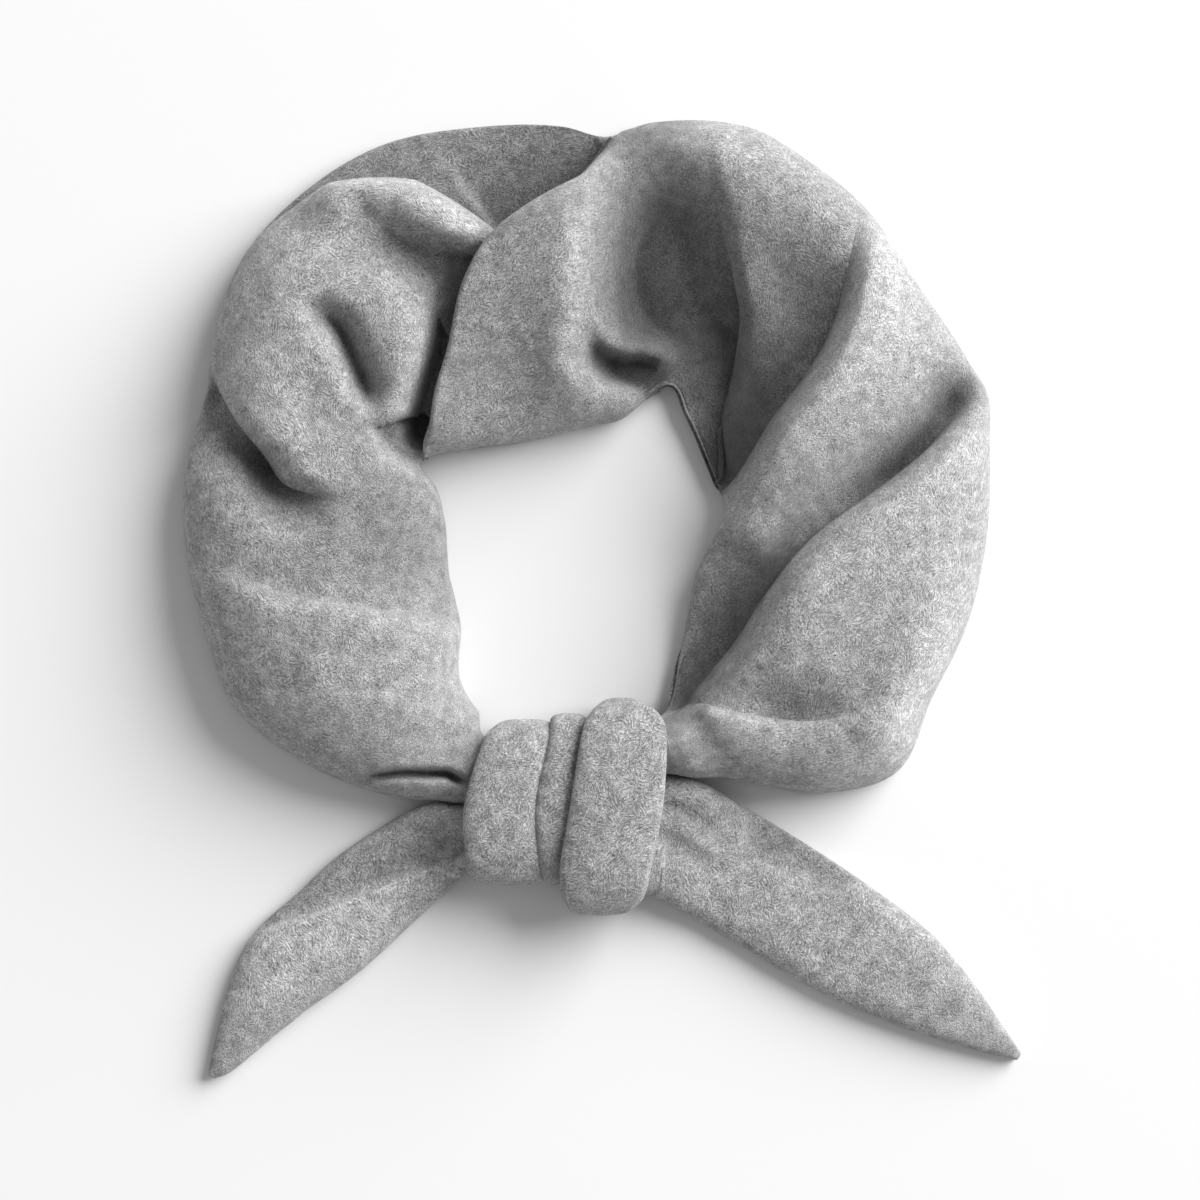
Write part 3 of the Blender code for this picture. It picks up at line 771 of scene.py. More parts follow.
@dataclass
class BandSheet:
    """One length of the band's cloth.

    The lifts and crest_change are read at guide numbers. least is the least height of the upper side,
    deepest and highest the hollow and the crest at which the painted shade and the painted highlight are
    full, firm how far up its sides the folds show whole, the next field how much of a crest is painted as a
    highlight, and the last field paints shade over the whole piece.
    """

    name: str
    guides: tuple[Guide, ...]
    shapes: tuple
    plan: BandPlan
    section: Section = field(default_factory=Section)
    wall: float = 0.0016
    inner_lift: Curve = Curve(((0.0, 0.0), (1.0, 0.0)))
    outer_lift: Curve = Curve(((0.0, 0.0), (1.0, 0.0)))
    crest_change: Curve = Curve(((0.0, 0.0), (1.0, 0.0)))
    ripple_height: float = 0.00015
    least: float = 0.0072
    deepest: float = 0.027
    highest: float = 0.012
    firm: float = 0.62
    painted_crest_share: float = 0.3
    tone_and_painted_light: float = 0.0

    def spread_columns(self) -> np.ndarray:
        """Places of the columns, as numbers of guides."""
        places = []
        for i in range(len(self.guides) - 1):
            count = self.guides[i].columns
            s = np.arange(count) / count
            start, end = self.guides[i].crowd, self.guides[i + 1].crowd
            places.append(i + (3 * s ** 2 - 2 * s ** 3) + (s ** 3 - 2 * s ** 2 + s) * start
                          + (s ** 3 - s ** 2) * end)
        return np.concatenate((*places, [len(self.guides) - 1]))

    def lay_out(self) -> tuple[np.ndarray, ...]:
        """Nominal angle and share of every point, with its section row."""
        rows = self.section.rows(self.plan.width, self.plan.height)
        places = self.spread_columns()
        angles, shares = [], []
        for guide in self.guides:
            end = guide.rows[-1][0]
            share = np.clip(rows[:, 0], 0, 1) * end
            shares.append(share)
            angles.append(Curve(guide.rows)(share))
        first = np.minimum(places.astype(int), len(self.guides) - 2)
        t = (places - first)[:, None]
        angle = (1 - t) * np.array(angles)[first] + t * np.array(angles)[first + 1]
        share = (1 - t) * np.array(shares)[first] + t * np.array(shares)[first + 1]
        return places, angle, share, rows

    def surface(self) -> tuple[np.ndarray, np.ndarray]:
        """Points of the cloth's outer face, as columns by rows by 3, and the light painted at them."""
        places, angle, share, rows = self.lay_out()
        plan = self.plan
        x, y = plan.place(angle, share)
        corner, up = rows[None, :, 1], rows[None, :, 2]
        side = rows[None, :, 0]
        low = np.where(side < 0.5, self.inner_lift(places)[:, None], self.outer_lift(places)[:, None])
        crest = plan.crest(angle) + self.crest_change(places)[:, None]
        rise = np.minimum(self.section.roll, 0.45 * (crest - low))
        height = low + corner * rise + (crest - low - rise) * up
        weight = ease(0.0, self.firm, up) * ease(3.0, -1.0, plan.past_entry(angle))
        shift, move_x, move_y, tone_and_painted_light = (np.zeros(x.shape) for _ in range(4))
        for shape in self.shapes:
            add, add_x, add_y, add_painted_light = shape.shape(plan, x, y)
            shift += add
            move_x += add_x
            move_y += add_y
            tone_and_painted_light += add_painted_light
        shift += self.ripple_height * ripple(x, y, 0.016, 3)
        height = height + shift * weight
        floor = low + rise + np.minimum(1.0, 1.6 * up) * np.maximum(0.0, self.least - rise)
        height = np.where(up > 0, np.maximum(height, floor), height)
        height = height + plan.lift(angle)
        # Painted light: shade in hollows cut below the surface, a highlight on raised crests, and the shapes'
        # own painted shade and highlight.
        painted_crest_highlight = self.painted_crest_share * weight * shift / self.highest
        nap = np.where(shift < 0, np.maximum(shift / self.deepest, -1.0), painted_crest_highlight)
        nap = np.clip(nap + tone_and_painted_light + self.tone_and_painted_light, -1.6, 1.0)
        return np.stack((x + move_x * weight, y + move_y * weight, height), axis=2), nap

    def build(self, wool: Wool) -> bpy.types.Object:
        """Make the piece."""
        points, nap = self.finish_ends(*self.surface())
        return cloth_grid(self.name, points, wool, ("neck_band",), self.wall, nap=nap)

    def finish_ends(self, points: np.ndarray, nap: np.ndarray) -> tuple[np.ndarray, np.ndarray]:
        """Leave both ends as they are."""
        return points, nap


@dataclass
class FrontSheet(BandSheet):
    """The sheet over the left lobes, whose first edge is folded back under it.

    hem is the radius of the folded edge, hem_depth how far the cloth runs back under it, pull how far
    both go inward at the sides, and clear the least height over the table.
    """

    hem: float = 0.0026
    hem_depth: float = 0.009
    pull: float = 0.0035
    clear: float = 0.0012

    def finish_ends(self, points: np.ndarray, nap: np.ndarray) -> tuple[np.ndarray, np.ndarray]:
        """Round the first edge over, and run it back under itself.

        Args:
            points: The outer face, its first column at the edge.
            nap: Painted shade and highlight at the points.

        Returns:
            The same points and painted light, with the columns of the turned-under hem before them.
        """
        away = np.linalg.norm(points[:, :, :2] - points[:1, :, :2], axis=2)
        far = np.maximum.accumulate(away, axis=0)
        near = np.clip(1.0 - far / self.hem, 0.0, 1.0)
        bend = self.hem * np.sqrt(1.0 - near ** 2)
        middle = points[:, :, :2].mean(axis=1, keepdims=True)
        inward = middle - points[:, :, :2]
        inward = inward / np.maximum(np.linalg.norm(inward, axis=2, keepdims=True), 1e-6)
        half = np.linalg.norm(middle - points[:, :, :2], axis=2)
        outer = ease(0.55, 0.95, half / np.maximum(half.max(axis=1, keepdims=True), 1e-6))
        under = points.copy()
        under[:, :, :2] += inward * (self.pull * (1.0 - near + near * outer))[:, :, None]
        under[:, :, 2] = np.maximum(points[:, :, 2] - self.hem - bend, self.clear)
        over = points.copy()
        over[:, :, :2] += inward * (self.pull * outer * near)[:, :, None]
        over[:, :, 2] = np.maximum(points[:, :, 2] - self.hem + bend, self.clear)
        count = int(np.argmax(far.mean(axis=1) > self.hem_depth))
        return np.concatenate((under[count:0:-1], over)), np.concatenate((nap[count:0:-1], nap))


# Lines of the folds: a Line's rows are (angle, share across), and a Route's are places in metres
NECK_VALLEY = Line(((77.0, 1.01), (72.2, 0.8), (62.4, 0.47), (56.6, 0.36), (50.3, 0.23), (42.5, 0.1),
                    (27.0, 0.01), (20.0, -0.08)))
TROUGH = Line(((80.3, 0.94), (77.9, 0.77), (74.2, 0.55), (65.4, 0.27), (48.6, 0.06), (30.5, 0.01)))
SHEET_RIDGE = Line(((87.1, 0.96), (90.0, 0.82), (91.8, 0.62), (92.8, 0.39), (93.4, 0.2), (94.5, 0.07)))
UPPER_CREASE = Line(((53.7, 1.04), (49.6, 0.85), (45.6, 0.71), (41.9, 0.57), (38.6, 0.41), (34.6, 0.23),
                     (25.0, 0.04), (17.0, -0.1)))
STRIP_CREST = Line(((52.1, 1.01), (46.7, 0.94), (40.3, 0.83), (34.1, 0.65), (28.9, 0.46), (20.4, 0.22),
                    (5.1, 0.03)))
LONG_CREASE = Route(((0.1592, 0.0632), (0.1526, 0.0595), (0.1452, 0.0543), (0.1378, 0.0458),
                     (0.1286, 0.0358), (0.1156, 0.0251), (0.1027, 0.0159), (0.0898, 0.0063),
                     (0.0805, -0.0026), (0.0695, -0.0174), (0.0584, -0.0351), (0.0502, -0.0454),
                     (0.0429, -0.0543), (0.0355, -0.0632), (0.0288, -0.072)))
OUTER_RIDGE = Line(((3.8, 0.93), (-8.2, 0.91), (-18.3, 0.9), (-27.7, 0.9), (-35.6, 0.92)))
KNOT_CREST = Route(((0.0251, -0.0654), (0.0333, -0.0613), (0.0406, -0.0584), (0.048, -0.0573),
                    (0.0558, -0.0591), (0.0728, -0.0624), (0.0887, -0.0635), (0.1027, -0.0599),
                    (0.1212, -0.0499), (0.136, -0.0406)))
POCKET_FLOOR = Route(((0.0059, 0.0757), (0.0096, 0.0698), (0.014, 0.0669), (0.0196, 0.0654),
                      (0.0262, 0.0643), (0.034, 0.0606)))
STRIP_SHADE = Route(((0.0639, 0.1459), (0.0702, 0.1201), (0.0732, 0.0942), (0.0702, 0.0684),
                     (0.0613, 0.0425), (0.0473, 0.0166)))
OUTER_POCKET = Route(((0.1526, 0.0654), (0.1426, 0.0565), (0.1304, 0.0432), (0.1138, 0.0277),
                      (0.0916, 0.0111)))
RIGHT_SHINE = Route(((0.1094, 0.1219), (0.1131, 0.1053), (0.1138, 0.0868), (0.1086, 0.072), (0.1009, 0.0591)))
LEFT_RIDGE = Route(((-0.1596, 0.0074), (-0.1374, -0.0011), (-0.1171, -0.01), (-0.0942, -0.0166),
                    (-0.0635, -0.0211), (-0.0266, -0.027)))
LOW_LEFT_RIDGE = Route(((-0.1337, -0.0591), (-0.1079, -0.0536), (-0.082, -0.0506), (-0.0562, -0.0521),
                        (-0.0303, -0.0573)))
POCKET = Route(((0.003, 0.092), (0.0055, 0.0794), (0.0103, 0.0713), (0.0177, 0.068), (0.0251, 0.0678),
                (0.0307, 0.0661), (0.0369, 0.0632), (0.0436, 0.0595)))
KNOT_FRONT = Route(((0.1434, -0.0203), (0.127, -0.045), (0.1027, -0.0794), (0.085, -0.095)))
LOBE_EDGE = Line(((157, 1.0), (158.7, 0.96), (162.7, 0.84), (166.4, 0.715), (170.7, 0.62), (172, 0.52),
                  (172.5, 0.38)))
LOBE_CREASE = Line(((140.6, 0.76), (140.0, 0.67), (139.7, 0.59), (141.3, 0.51), (143.4, 0.43),
                    (147.0, 0.32), (150.2, 0.25)))
MIDDLE_CREST = Line(((125.9, 0.68), (127.7, 0.55), (132.1, 0.42), (140.4, 0.25)))
INNER_LEDGE = Line(((153.9, 0.24), (151.8, 0.21), (148.6, 0.19), (144.8, 0.18), (138.6, 0.18)))
DARK_GAP = Line(((111.5, 0.6), (114.2, 0.53), (124.1, 0.35), (134.4, 0.23), (151.6, 0.03)))
ROLL_POCKET = Route(((-0.0894, 0.1312), (-0.0802, 0.1238), (-0.0706, 0.116), (-0.0628, 0.1105),
                     (-0.0536, 0.1064), (-0.0429, 0.1034), (-0.034, 0.1012)))
ROLL_CREST = Line(((132.8, 1.01), (127.4, 0.96), (123.0, 0.91), (118.6, 0.84), (114.4, 0.74), (108.8, 0.63)))
BACK_VALLEY = Line(((87.3, 0.93), (94.6, 0.84), (101.4, 0.74), (107.1, 0.68)))
LOW_SLIT = Route(((-0.0617, -0.0942), (-0.0543, -0.0964), (-0.0462, -0.0983), (-0.0358, -0.0998)))
KNOT_SLIT = Line(((228.9, 0.954), (235.0, 0.787), (240.5, 0.715), (246.2, 0.665), (250.0, 0.64)))


@dataclass
class Neckband:
    """The rolled band: front sheet, left lobes and back ply."""

    plan: BandPlan = field(default_factory=BandPlan)
    wool: Wool = field(default_factory=lambda: Wool("wool_band"))

    def front_sheet(self) -> FrontSheet:
        """The sheet from its edge over the left side, round the right, to the knot."""
        guides = (
            Guide(((0.0, 154.5), (0.03, 151.6), (0.23, 134.4), (0.35, 124.1), (0.53, 114.2), (0.65, 106.7),
                   (0.81, 93.0), (0.97, 87.6), (1.0, 86.8)), 88, 0.16),
            Guide(((0.0, 26), (0.1, 42.5), (0.23, 50.3), (0.36, 56.6), (0.47, 62.4), (0.8, 72.2),
                   (1.0, 77)), 50, 0.35),
            Guide(((0.0, 22), (0.04, 25), (0.23, 34.6), (0.41, 38.6), (0.57, 41.9), (0.71, 45.6),
                   (0.85, 49.6), (1.0, 53)), 60, 0.2),
            Guide(((0.0, -54), (0.1, -47.5), (0.2, -27.8), (0.29, 1.8), (0.47, 12.3), (0.73, 18.3),
                   (0.95, 23.0), (1.0, 23.4)), 88, 0.16),
            Guide(((0.0, -57), (0.21, -49), (0.48, -39), (0.67, -32), (1.0, -24)), 36, 0.6),
            Guide(((0.0, -62), (1.0, -62)), 10, 1.0),
            Guide(((0.0, -75), (1.0, -75)), 0, 1.0),
        )
        # Besides shaping the cloth, many shapes paint shade into the colour at folds and hollows and
        # highlights on crests; those with no height, such as the dish at 112 degrees and the RIGHT_SHINE
        # strip, paint light only.
        shapes = (
            Fold(NECK_VALLEY, Toward.LEFT, 0.001, 0.011, 0.014, 0.016, roll=0.006, lean=0.002,
                 come=0.6, go=0.05),
            Ridge(TROUGH, -0.025, 0.018, 0.024, come=0.3, go=0.45),
            Dish(75.2, 0.5, 0.011, 0.022),
            Dish(68.0, 0.28, 0.003, 0.02, tone_and_painted_light=-0.3),
            Dish(86.0, 0.93, 0.012, 0.02),
            Ridge(SHEET_RIDGE, 0.005, 0.006, 0.012, come=0.1, go=0.15, tone_and_painted_light=0.2),
            Fold(POCKET, Toward.LEFT, 0.004, 0.006, 0.01, 0.012, roll=0.005, lean=0.0, come=0.5, go=0.3,
                 soft=0.3, tone_and_painted_light=-0.6),
            Ridge(POCKET_FLOOR, -0.03, 0.003, 0.006, come=0.65, go=0.05, tone_and_painted_light=-1.5),
            Dish(81.1, 0.437, 0.003, 0.012, 1.8, 80.0, tone_and_painted_light=-0.3),
            Dish(78.5, 0.555, 0.004, 0.015, 1.7, 80.0, tone_and_painted_light=-0.2),
            Dish(76.1, 0.29, 0.003, 0.01, 1.3, 60.0, tone_and_painted_light=-0.3),
            Ridge(STRIP_SHADE, -0.002, 0.015, 0.016, come=0.2, go=0.1, tone_and_painted_light=-0.45),
            Ridge(OUTER_POCKET, -0.004, 0.005, 0.006, come=0.3, go=0.4, tone_and_painted_light=-0.65),
            Dish(112.0, 0.4, 0.0, 0.034, 1.4, 60.0, tone_and_painted_light=-0.45),
            Fold(UPPER_CREASE, Toward.LEFT, 0.008, 0.015, 0.022, 0.024, roll=0.009, lean=0.001,
                 come=0.42, go=0.04, soft=0.5, tone_and_painted_light=-0.6, shine=1.0),
            Ridge(RIGHT_SHINE, 0.0, 0.012, 0.012, come=0.2, go=0.3, tone_and_painted_light=0.9),
            Dish(54.1, 0.6, 0.008, 0.018, tone_and_painted_light=-0.2),
            Ridge(STRIP_CREST, 0.002, 0.012, 0.012, come=0.05, go=0.3),
            Fold(LONG_CREASE, Toward.LEFT, 0.007, 0.013, 0.03, 0.017, roll=0.01, lean=0.002,
                 come=0.25, go=0.15, soft=0.4, tone_and_painted_light=-0.55, shine=0.5),
            Dish(24.8, 0.86, 0.008, 0.01, tone_and_painted_light=-0.5),
            Dish(-24.4, 0.14, 0.008, 0.016, 1.5, 70.0),
            Ridge(OUTER_RIDGE, 0.005, 0.01, 0.014, tone_and_painted_light=0.3),
            Fold(KNOT_CREST, Toward.RIGHT, 0.001, 0.003, 0.016, 0.012, roll=0.005, come=0.05, go=0.45,
                 soft=0.4, tone_and_painted_light=-0.3, shine=0.4),
            Dish(-33.9, 0.51, 0.0035, 0.01, 1.6, tone_and_painted_light=-0.6),
            Dish(-50.6, 0.6, -0.0015, 0.014, 1.4, tone_and_painted_light=0.5),
            Ridge(KNOT_FRONT, 0.004, 0.01, 0.012, come=0.3, go=0.1, tone_and_painted_light=0.5),
        )
        return FrontSheet("front_sheet", guides, shapes, self.plan,
                          inner_lift=Curve(((0.0, 0.0075), (0.12, 0.006), (0.35, 0.0), (6.0, 0.0))),
                          outer_lift=Curve(((0.0, 0.008), (0.35, 0.0), (6.0, 0.0))),
                          crest_change=Curve(((0.0, 0.0015), (0.5, 0.0005), (1.0, 0.0), (6.0, 0.0))))

    def left_lobes(self) -> BandSheet:
        """The cloth from the knot up the left side and under the front sheet."""
        guides = (
            Guide(((0.0, 259), (1.0, 259)), 10, 1.0),
            Guide(((0.0, 246), (1.0, 246)), 116, 1.0),
            Guide(((0.0, 176), (0.2, 174.5), (0.38, 172.5), (0.52, 172), (0.62, 170.7), (0.715, 166.4),
                   (0.84, 162.7), (0.96, 158.7), (1.0, 157)), 60, 0.16),
            Guide(((0.0, 153), (0.235, 147.3), (0.345, 142.3), (0.475, 138.9), (0.63, 136.5), (0.73, 136.9),
                   (1.0, 138)), 20, 0.16),
            Guide(((0.0, 153), (0.235, 141.0), (0.345, 134.0), (0.475, 128.0), (0.63, 125.5), (0.8, 126.0),
                   (0.965, 126.6)), 26, 1.0),
            Guide(((0.0, 153), (0.23, 136.4), (0.35, 127.5), (0.53, 119.0), (0.65, 116.5),
                   (0.855, 115.9)), 26, 1.0),
            Guide(((0.0, 152.5), (0.03, 149.6), (0.23, 131.4), (0.35, 122.1), (0.53, 112.2),
                   (0.65, 106.0)), 16, 0.6),
            Guide(((0.0, 140), (0.23, 122), (0.35, 112.5), (0.53, 102.5), (0.62, 98)), 0, 1.0),
        )
        # Many shapes also paint shade into the colour at folds, slits and hollows, and a highlight on crests.
        shapes = (
            Fold(LOBE_EDGE, Toward.LEFT, 0.003, 0.013, 0.02, 0.014, roll=0.008, come=0.12, go=0.3,
                 tone_and_painted_light=-0.4, shine=0.5),
            Dish(168.3, 0.68, 0.008, 0.0065, 1.8, -40.0, tone_and_painted_light=-0.45),
            Fold(LEFT_RIDGE, Toward.RIGHT, 0.0012, 0.0034, 0.018, 0.018, roll=0.01, come=0.4, go=0.1,
                 soft=1.0, tone_and_painted_light=-0.2, shine=0.25),
            Fold(LOW_LEFT_RIDGE, Toward.RIGHT, 0.0006, 0.0012, 0.014, 0.012, roll=0.006, come=0.3, go=0.3,
                 soft=1.0, tone_and_painted_light=-0.1, shine=0.4),
            Ridge(LOBE_CREASE, -0.015, 0.005, 0.004, 1.7, come=0.4, go=0.3, tone_and_painted_light=-0.4),
            Ridge(LOBE_CREASE, -0.003, 0.013, 0.006, come=0.25, go=0.3),
            Ridge(MIDDLE_CREST, 0.002, 0.01, 0.01, come=0.1, go=0.2, tone_and_painted_light=0.2),
            Fold(INNER_LEDGE, Toward.LEFT, 0.0, 0.008, 0.006, 0.012, roll=0.004, lean=0.002,
                 come=0.25, go=0.1, tone_and_painted_light=-0.3),
            Ridge(DARK_GAP, -0.028, 0.009, 0.007, 2.4, come=0.05, go=0.12),
            Ridge(ROLL_POCKET, -0.017, 0.006, 0.017, 1.8, come=0.75, go=0.02, tone_and_painted_light=-0.4),
            Ridge(ROLL_CREST, 0.0045, 0.005, 0.011, come=0.2, go=0.05, tone_and_painted_light=0.4),
            Ridge(KNOT_SLIT, -0.011, 0.0015, 0.0018, come=0.25, go=0.02, tone_and_painted_light=-0.5),
            Ridge(LOW_SLIT, -0.005, 0.0015, 0.0018, come=0.6, go=0.02, tone_and_painted_light=-0.6),
            Ridge(Line(((191.4, 0.6), (200, 0.3), (212, 0.02))), 0.0028, 0.009, 0.011),
            Ridge(Line(((207.2, 0.77), (218, 0.4), (235.4, 0.05))), 0.0028, 0.008, 0.01),
            Dish(182.4, 0.22, 0.006, 0.02, 1.5, tone_and_painted_light=-0.35),
            Dish(154.3, 0.5, 0.003, 0.012),
        )
        return BandSheet("left_lobes", guides, shapes, self.plan,
                         outer_lift=Curve(((0.0, 0.0), (3.4, 0.0), (4.0, 0.013), (5.0, 0.016), (7.0, 0.016))))

    def back_ply(self) -> BandSheet:
        """The ply that shows between the lobes and the front sheet, at the back."""
        guides = (
            Guide(((0.0, 141), (1.0, 139)), 60, 1.0),
            Guide(((0.0, 112), (1.0, 108)), 50, 1.0),
            Guide(((0.0, 97), (0.5, 91), (1.0, 83)), 0, 1.0),
        )
        shapes = (Ridge(BACK_VALLEY, -0.007, 0.016, 0.02, come=0.05, go=0.05, tone_and_painted_light=-0.1),)
        # The whole back ply is painted darker as shade, for it lies low under the front sheet and the lobes.
        return BandSheet("back_ply", guides, shapes, self.plan, tone_and_painted_light=-0.8,
                         section=Section(top_rows=60, lap_rows=2),
                         crest_change=Curve(((0.0, -0.025), (1.0, -0.026), (2.0, -0.03))))

    def build(self) -> None:
        """Make the band's three lengths of cloth."""
        for sheet in (self.front_sheet(), self.left_lobes(), self.back_ply()):
            sheet.build(self.wool)


@dataclass(frozen=True)
class Turn:
    """One wound turn of the knot, with its sides as (share down, left edge, right edge) rows."""

    name: str
    top: float
    bottom: float
    hollow_height: float
    centre: float
    length: float
    sides: Rows


@dataclass
class KnotTurns:
    """The wound turns, made as sleeves whose upper side is fuller."""

    knot: Knot = field(default_factory=Knot)
    # The knot's wool has a darker middle grey than the band's: painted shade over the whole knot.
    wool: Wool = field(default_factory=lambda: Wool("wool_knot", middle=(0.315, 0.315, 0.313)))
    steps: int = 200
    sides: int = 84
    top_fullness: float = 2.7
    under_fullness: float = 7.0
    edge_fullness: float = 2.6
    tuck: float = 0.0012
    sunk: float = 0.0018
    left_sides: Rows = (
        (0.0, -0.06, 0.63), (0.04, -0.17, 0.63), (0.12, -0.25, 0.6), (0.4, -0.41, 0.47),
        (0.58, -0.47, 0.44), (0.8, -0.45, 0.47), (0.94, -0.43, 0.52), (1.0, -0.36, 0.58),
    )
    right_sides: Rows = (
        (0.0, -0.18, 0.26), (0.03, -0.28, 0.42), (0.1, -0.37, 0.52), (0.4, -0.48, 0.51),
        (0.6, -0.55, 0.45), (0.8, -0.62, 0.36), (0.94, -0.6, 0.29), (1.0, -0.54, 0.16),
    )

    def turns(self) -> tuple[Turn, ...]:
        """Sizes and places of the three turns."""
        knot = self.knot
        reach = knot.middle_length / 2 + knot.gap
        left = Turn("knot_left_turn", knot.left_reach - knot.gap,
                    knot.left_reach + knot.left_strand + knot.left_root + 2 * knot.gap, knot.left_hollow,
                    knot.centre_x - reach - knot.left_length / 2, knot.left_length, self.left_sides)
        right = Turn("knot_right_turn", knot.right_reach - knot.gap,
                     knot.right_reach + knot.right_strand + knot.right_root + 2 * knot.gap, knot.right_hollow,
                     knot.centre_x + reach + knot.right_length / 2, knot.right_length, self.right_sides)
        top, bottom = (left.top + right.top) / 2 + self.sunk, left.bottom
        between = []
        for row in self.left_sides:
            depth = top + row[0] * (bottom - top)
            low, high = self.side(left, 2, depth) - self.tuck, self.side(right, 1, depth) + self.tuck
            between.append((row[0], *((x - knot.centre_x) / knot.middle_length for x in (low, high))))
        middle = Turn("knot_middle_turn", top, bottom, left.hollow_height, knot.centre_x,
                      knot.middle_length, tuple(between))
        return left, middle, right

    def side(self, turn: Turn, value: int, depth: float) -> float:
        """X of one side of a turn at a distance from the neck's centre."""
        down = (depth - turn.top) / (turn.bottom - turn.top)
        return turn.centre + turn.length * float(column(turn.sides, value)(np.array(down)))

    def sleeve(self, turn: Turn) -> np.ndarray:
        """Points of a turn, going round it and round its wall."""
        knot = self.knot
        around = np.linspace(0, 2 * math.pi, self.steps + 1)[:, None]
        section = np.linspace(0, 2 * math.pi, self.sides + 1)[None, :]
        half_y = (turn.bottom - turn.top) / 2 + knot.wall / 2
        half_z = turn.hollow_height / 2 + knot.wall / 2
        power = np.where(np.sin(around) > 0, self.top_fullness, self.under_fullness)
        cos, sin = np.cos(around), np.sin(around)
        along = np.sign(cos) * np.abs(cos) ** (2 / power)
        up = np.sign(sin) * np.abs(sin) ** (2 / power)
        out_y = np.abs(along) ** (power - 1) * np.sign(along) / half_y
        out_z = np.abs(up) ** (power - 1) * np.sign(up) / half_z
        size = np.hypot(out_y, out_z)
        face = np.sign(np.cos(section)) * np.abs(np.cos(section)) ** (2 / self.edge_fullness)
        thick = np.sign(np.sin(section)) * np.abs(np.sin(section)) ** (2 / self.edge_fullness)
        down = (1 - along) / 2
        left, right = column(turn.sides, 1)(down), column(turn.sides, 2)(down)
        x = turn.centre + turn.length * ((left + right) / 2 + (right - left) / 2 * face)
        offset = knot.wall / 2 * thick
        bulge = knot.bulge * thick * np.sqrt(np.maximum(0, up))
        offset = offset + np.where((thick > 0) & (sin > 0), bulge, 0)
        y = -(turn.top + turn.bottom) / 2 + half_y * along + offset * out_y / size
        z = half_z + knot.wall / 2 + half_z * up + offset * out_z / size
        wave = 0.0002 * ripple(x, y, 0.012, 11) * np.maximum(thick, 0) * np.maximum(up, 0)
        return np.stack((x, y, z + wave), axis=2)

    def build(self) -> None:
        """Make the three turns."""
        for turn in self.turns():
            cloth_ring(turn.name + "_cloth", self.sleeve(turn), self.wool, (turn.name,))


def cloth_ring(name: str, points: np.ndarray, wool: Wool,
               nodes: tuple[str, ...]) -> bpy.types.Object:
    """Make a closed ring of cloth from a table of points whose ends meet both ways.

    Args:
        name: Name of the piece.
        points: Points round the ring by points round its wall, the last of each equal to the first.
        wool: Finish.
        nodes: CAD nodes that the piece stands for.

    Returns:
        The piece, riding on its body.
    """
    piece = cloth_grid(name, points, wool, nodes, 0.0)
    closed = bmesh.new()
    closed.from_mesh(piece.data)
    bmesh.ops.remove_doubles(closed, verts=closed.verts, dist=2e-6)
    bmesh.ops.recalc_face_normals(closed, faces=closed.faces)
    closed.to_mesh(piece.data)
    closed.free()
    piece.data.shade_smooth()
    return piece


@dataclass
class Tail:
    """One free end of the cloth: (run, drop, width, crest) rows as shares."""

    name: str
    heading: int
    length: float
    width: float
    root: tuple[float, float]
    rows: Rows
    wool: Wool
    shapes: tuple = ()
    height: float = 0.0125
    wall: float = 0.0014
    roll: float = 0.0022
    least: float = 0.0025
    painted_light_full_height: float = 0.012
    columns: int = 230
    section: Section = field(
        default_factory=lambda: Section(fullness=3.2, top_rows=64, lap_rows=3, roll=0.003))

    def build(self) -> bpy.types.Object:
        """Make the tail from its root in the knot to its tip."""
        knot = Knot()
        key = np.linspace(0.0, len(self.rows) - 1, self.columns + 1)
        run, drop, width, crest = by_number(self.rows, key)
        step = np.stack((np.gradient(run) * self.heading, -np.gradient(drop)), axis=1)
        step = step / np.linalg.norm(step, axis=1)[:, None]
        side = np.stack((-step[:, 1], step[:, 0]), axis=1) * self.heading
        centre = np.array(self.root) + np.stack((run * self.heading, -drop), axis=1) * self.length
        rows = self.section.rows(self.width, self.height)
        wide = (self.width * width)[:, None]
        high = (self.height * crest)[:, None]
        share = rows[None, :, 0]
        low = knot.root_lift * (1 - ease(0.17, 0.3, run))[:, None]
        rise = np.minimum(self.roll, 0.4 * high)
        z = low + rows[None, :, 1] * rise + (high - rise) * rows[None, :, 2]
        x = centre[:, :1] + side[:, :1] * wide * (0.5 - share)
        y = centre[:, 1:] + side[:, 1:] * wide * (0.5 - share)
        z = z + 0.0002 * ripple(x, y, 0.014, 5) * rows[None, :, 2]
        shift, tone_and_painted_light = np.zeros(x.shape), np.zeros(x.shape)
        for shape in self.shapes:
            add, _, _, add_painted_light = shape.shape(BandPlan(), x, y)
            shift += add * ease(0.0, 0.7, rows[None, :, 2])
            tone_and_painted_light += add_painted_light
        z = z + shift
        z = np.maximum(z, np.minimum(1.0, rows[None, :, 1] + rows[None, :, 2]) * self.least)
        points = np.stack((x, y, z), axis=2)
        # Painted light: shade in the tail's creases and hollows and a highlight on its raised strips.
        nap = np.clip(shift / self.painted_light_full_height + tone_and_painted_light, -1.0, 1.0)
        return cloth_grid(self.name + "_cloth", points, self.wool, (self.name,), self.wall,
                          nap=nap)


LEFT_TAIL_CREASE = Route(((-0.034, -0.1112), (-0.0417, -0.1145), (-0.0617, -0.1216), (-0.0798, -0.1293),
                          (-0.0979, -0.136), (-0.1131, -0.1419), (-0.1245, -0.1467)))
LEFT_TAIL_SHADE = Route(((-0.042, -0.108), (-0.06, -0.113), (-0.076, -0.122), (-0.09, -0.128),
                         (-0.106, -0.137)))
LEFT_TAIL_LIGHT = Route(((-0.06, -0.133), (-0.08, -0.145), (-0.1, -0.152), (-0.118, -0.17)))


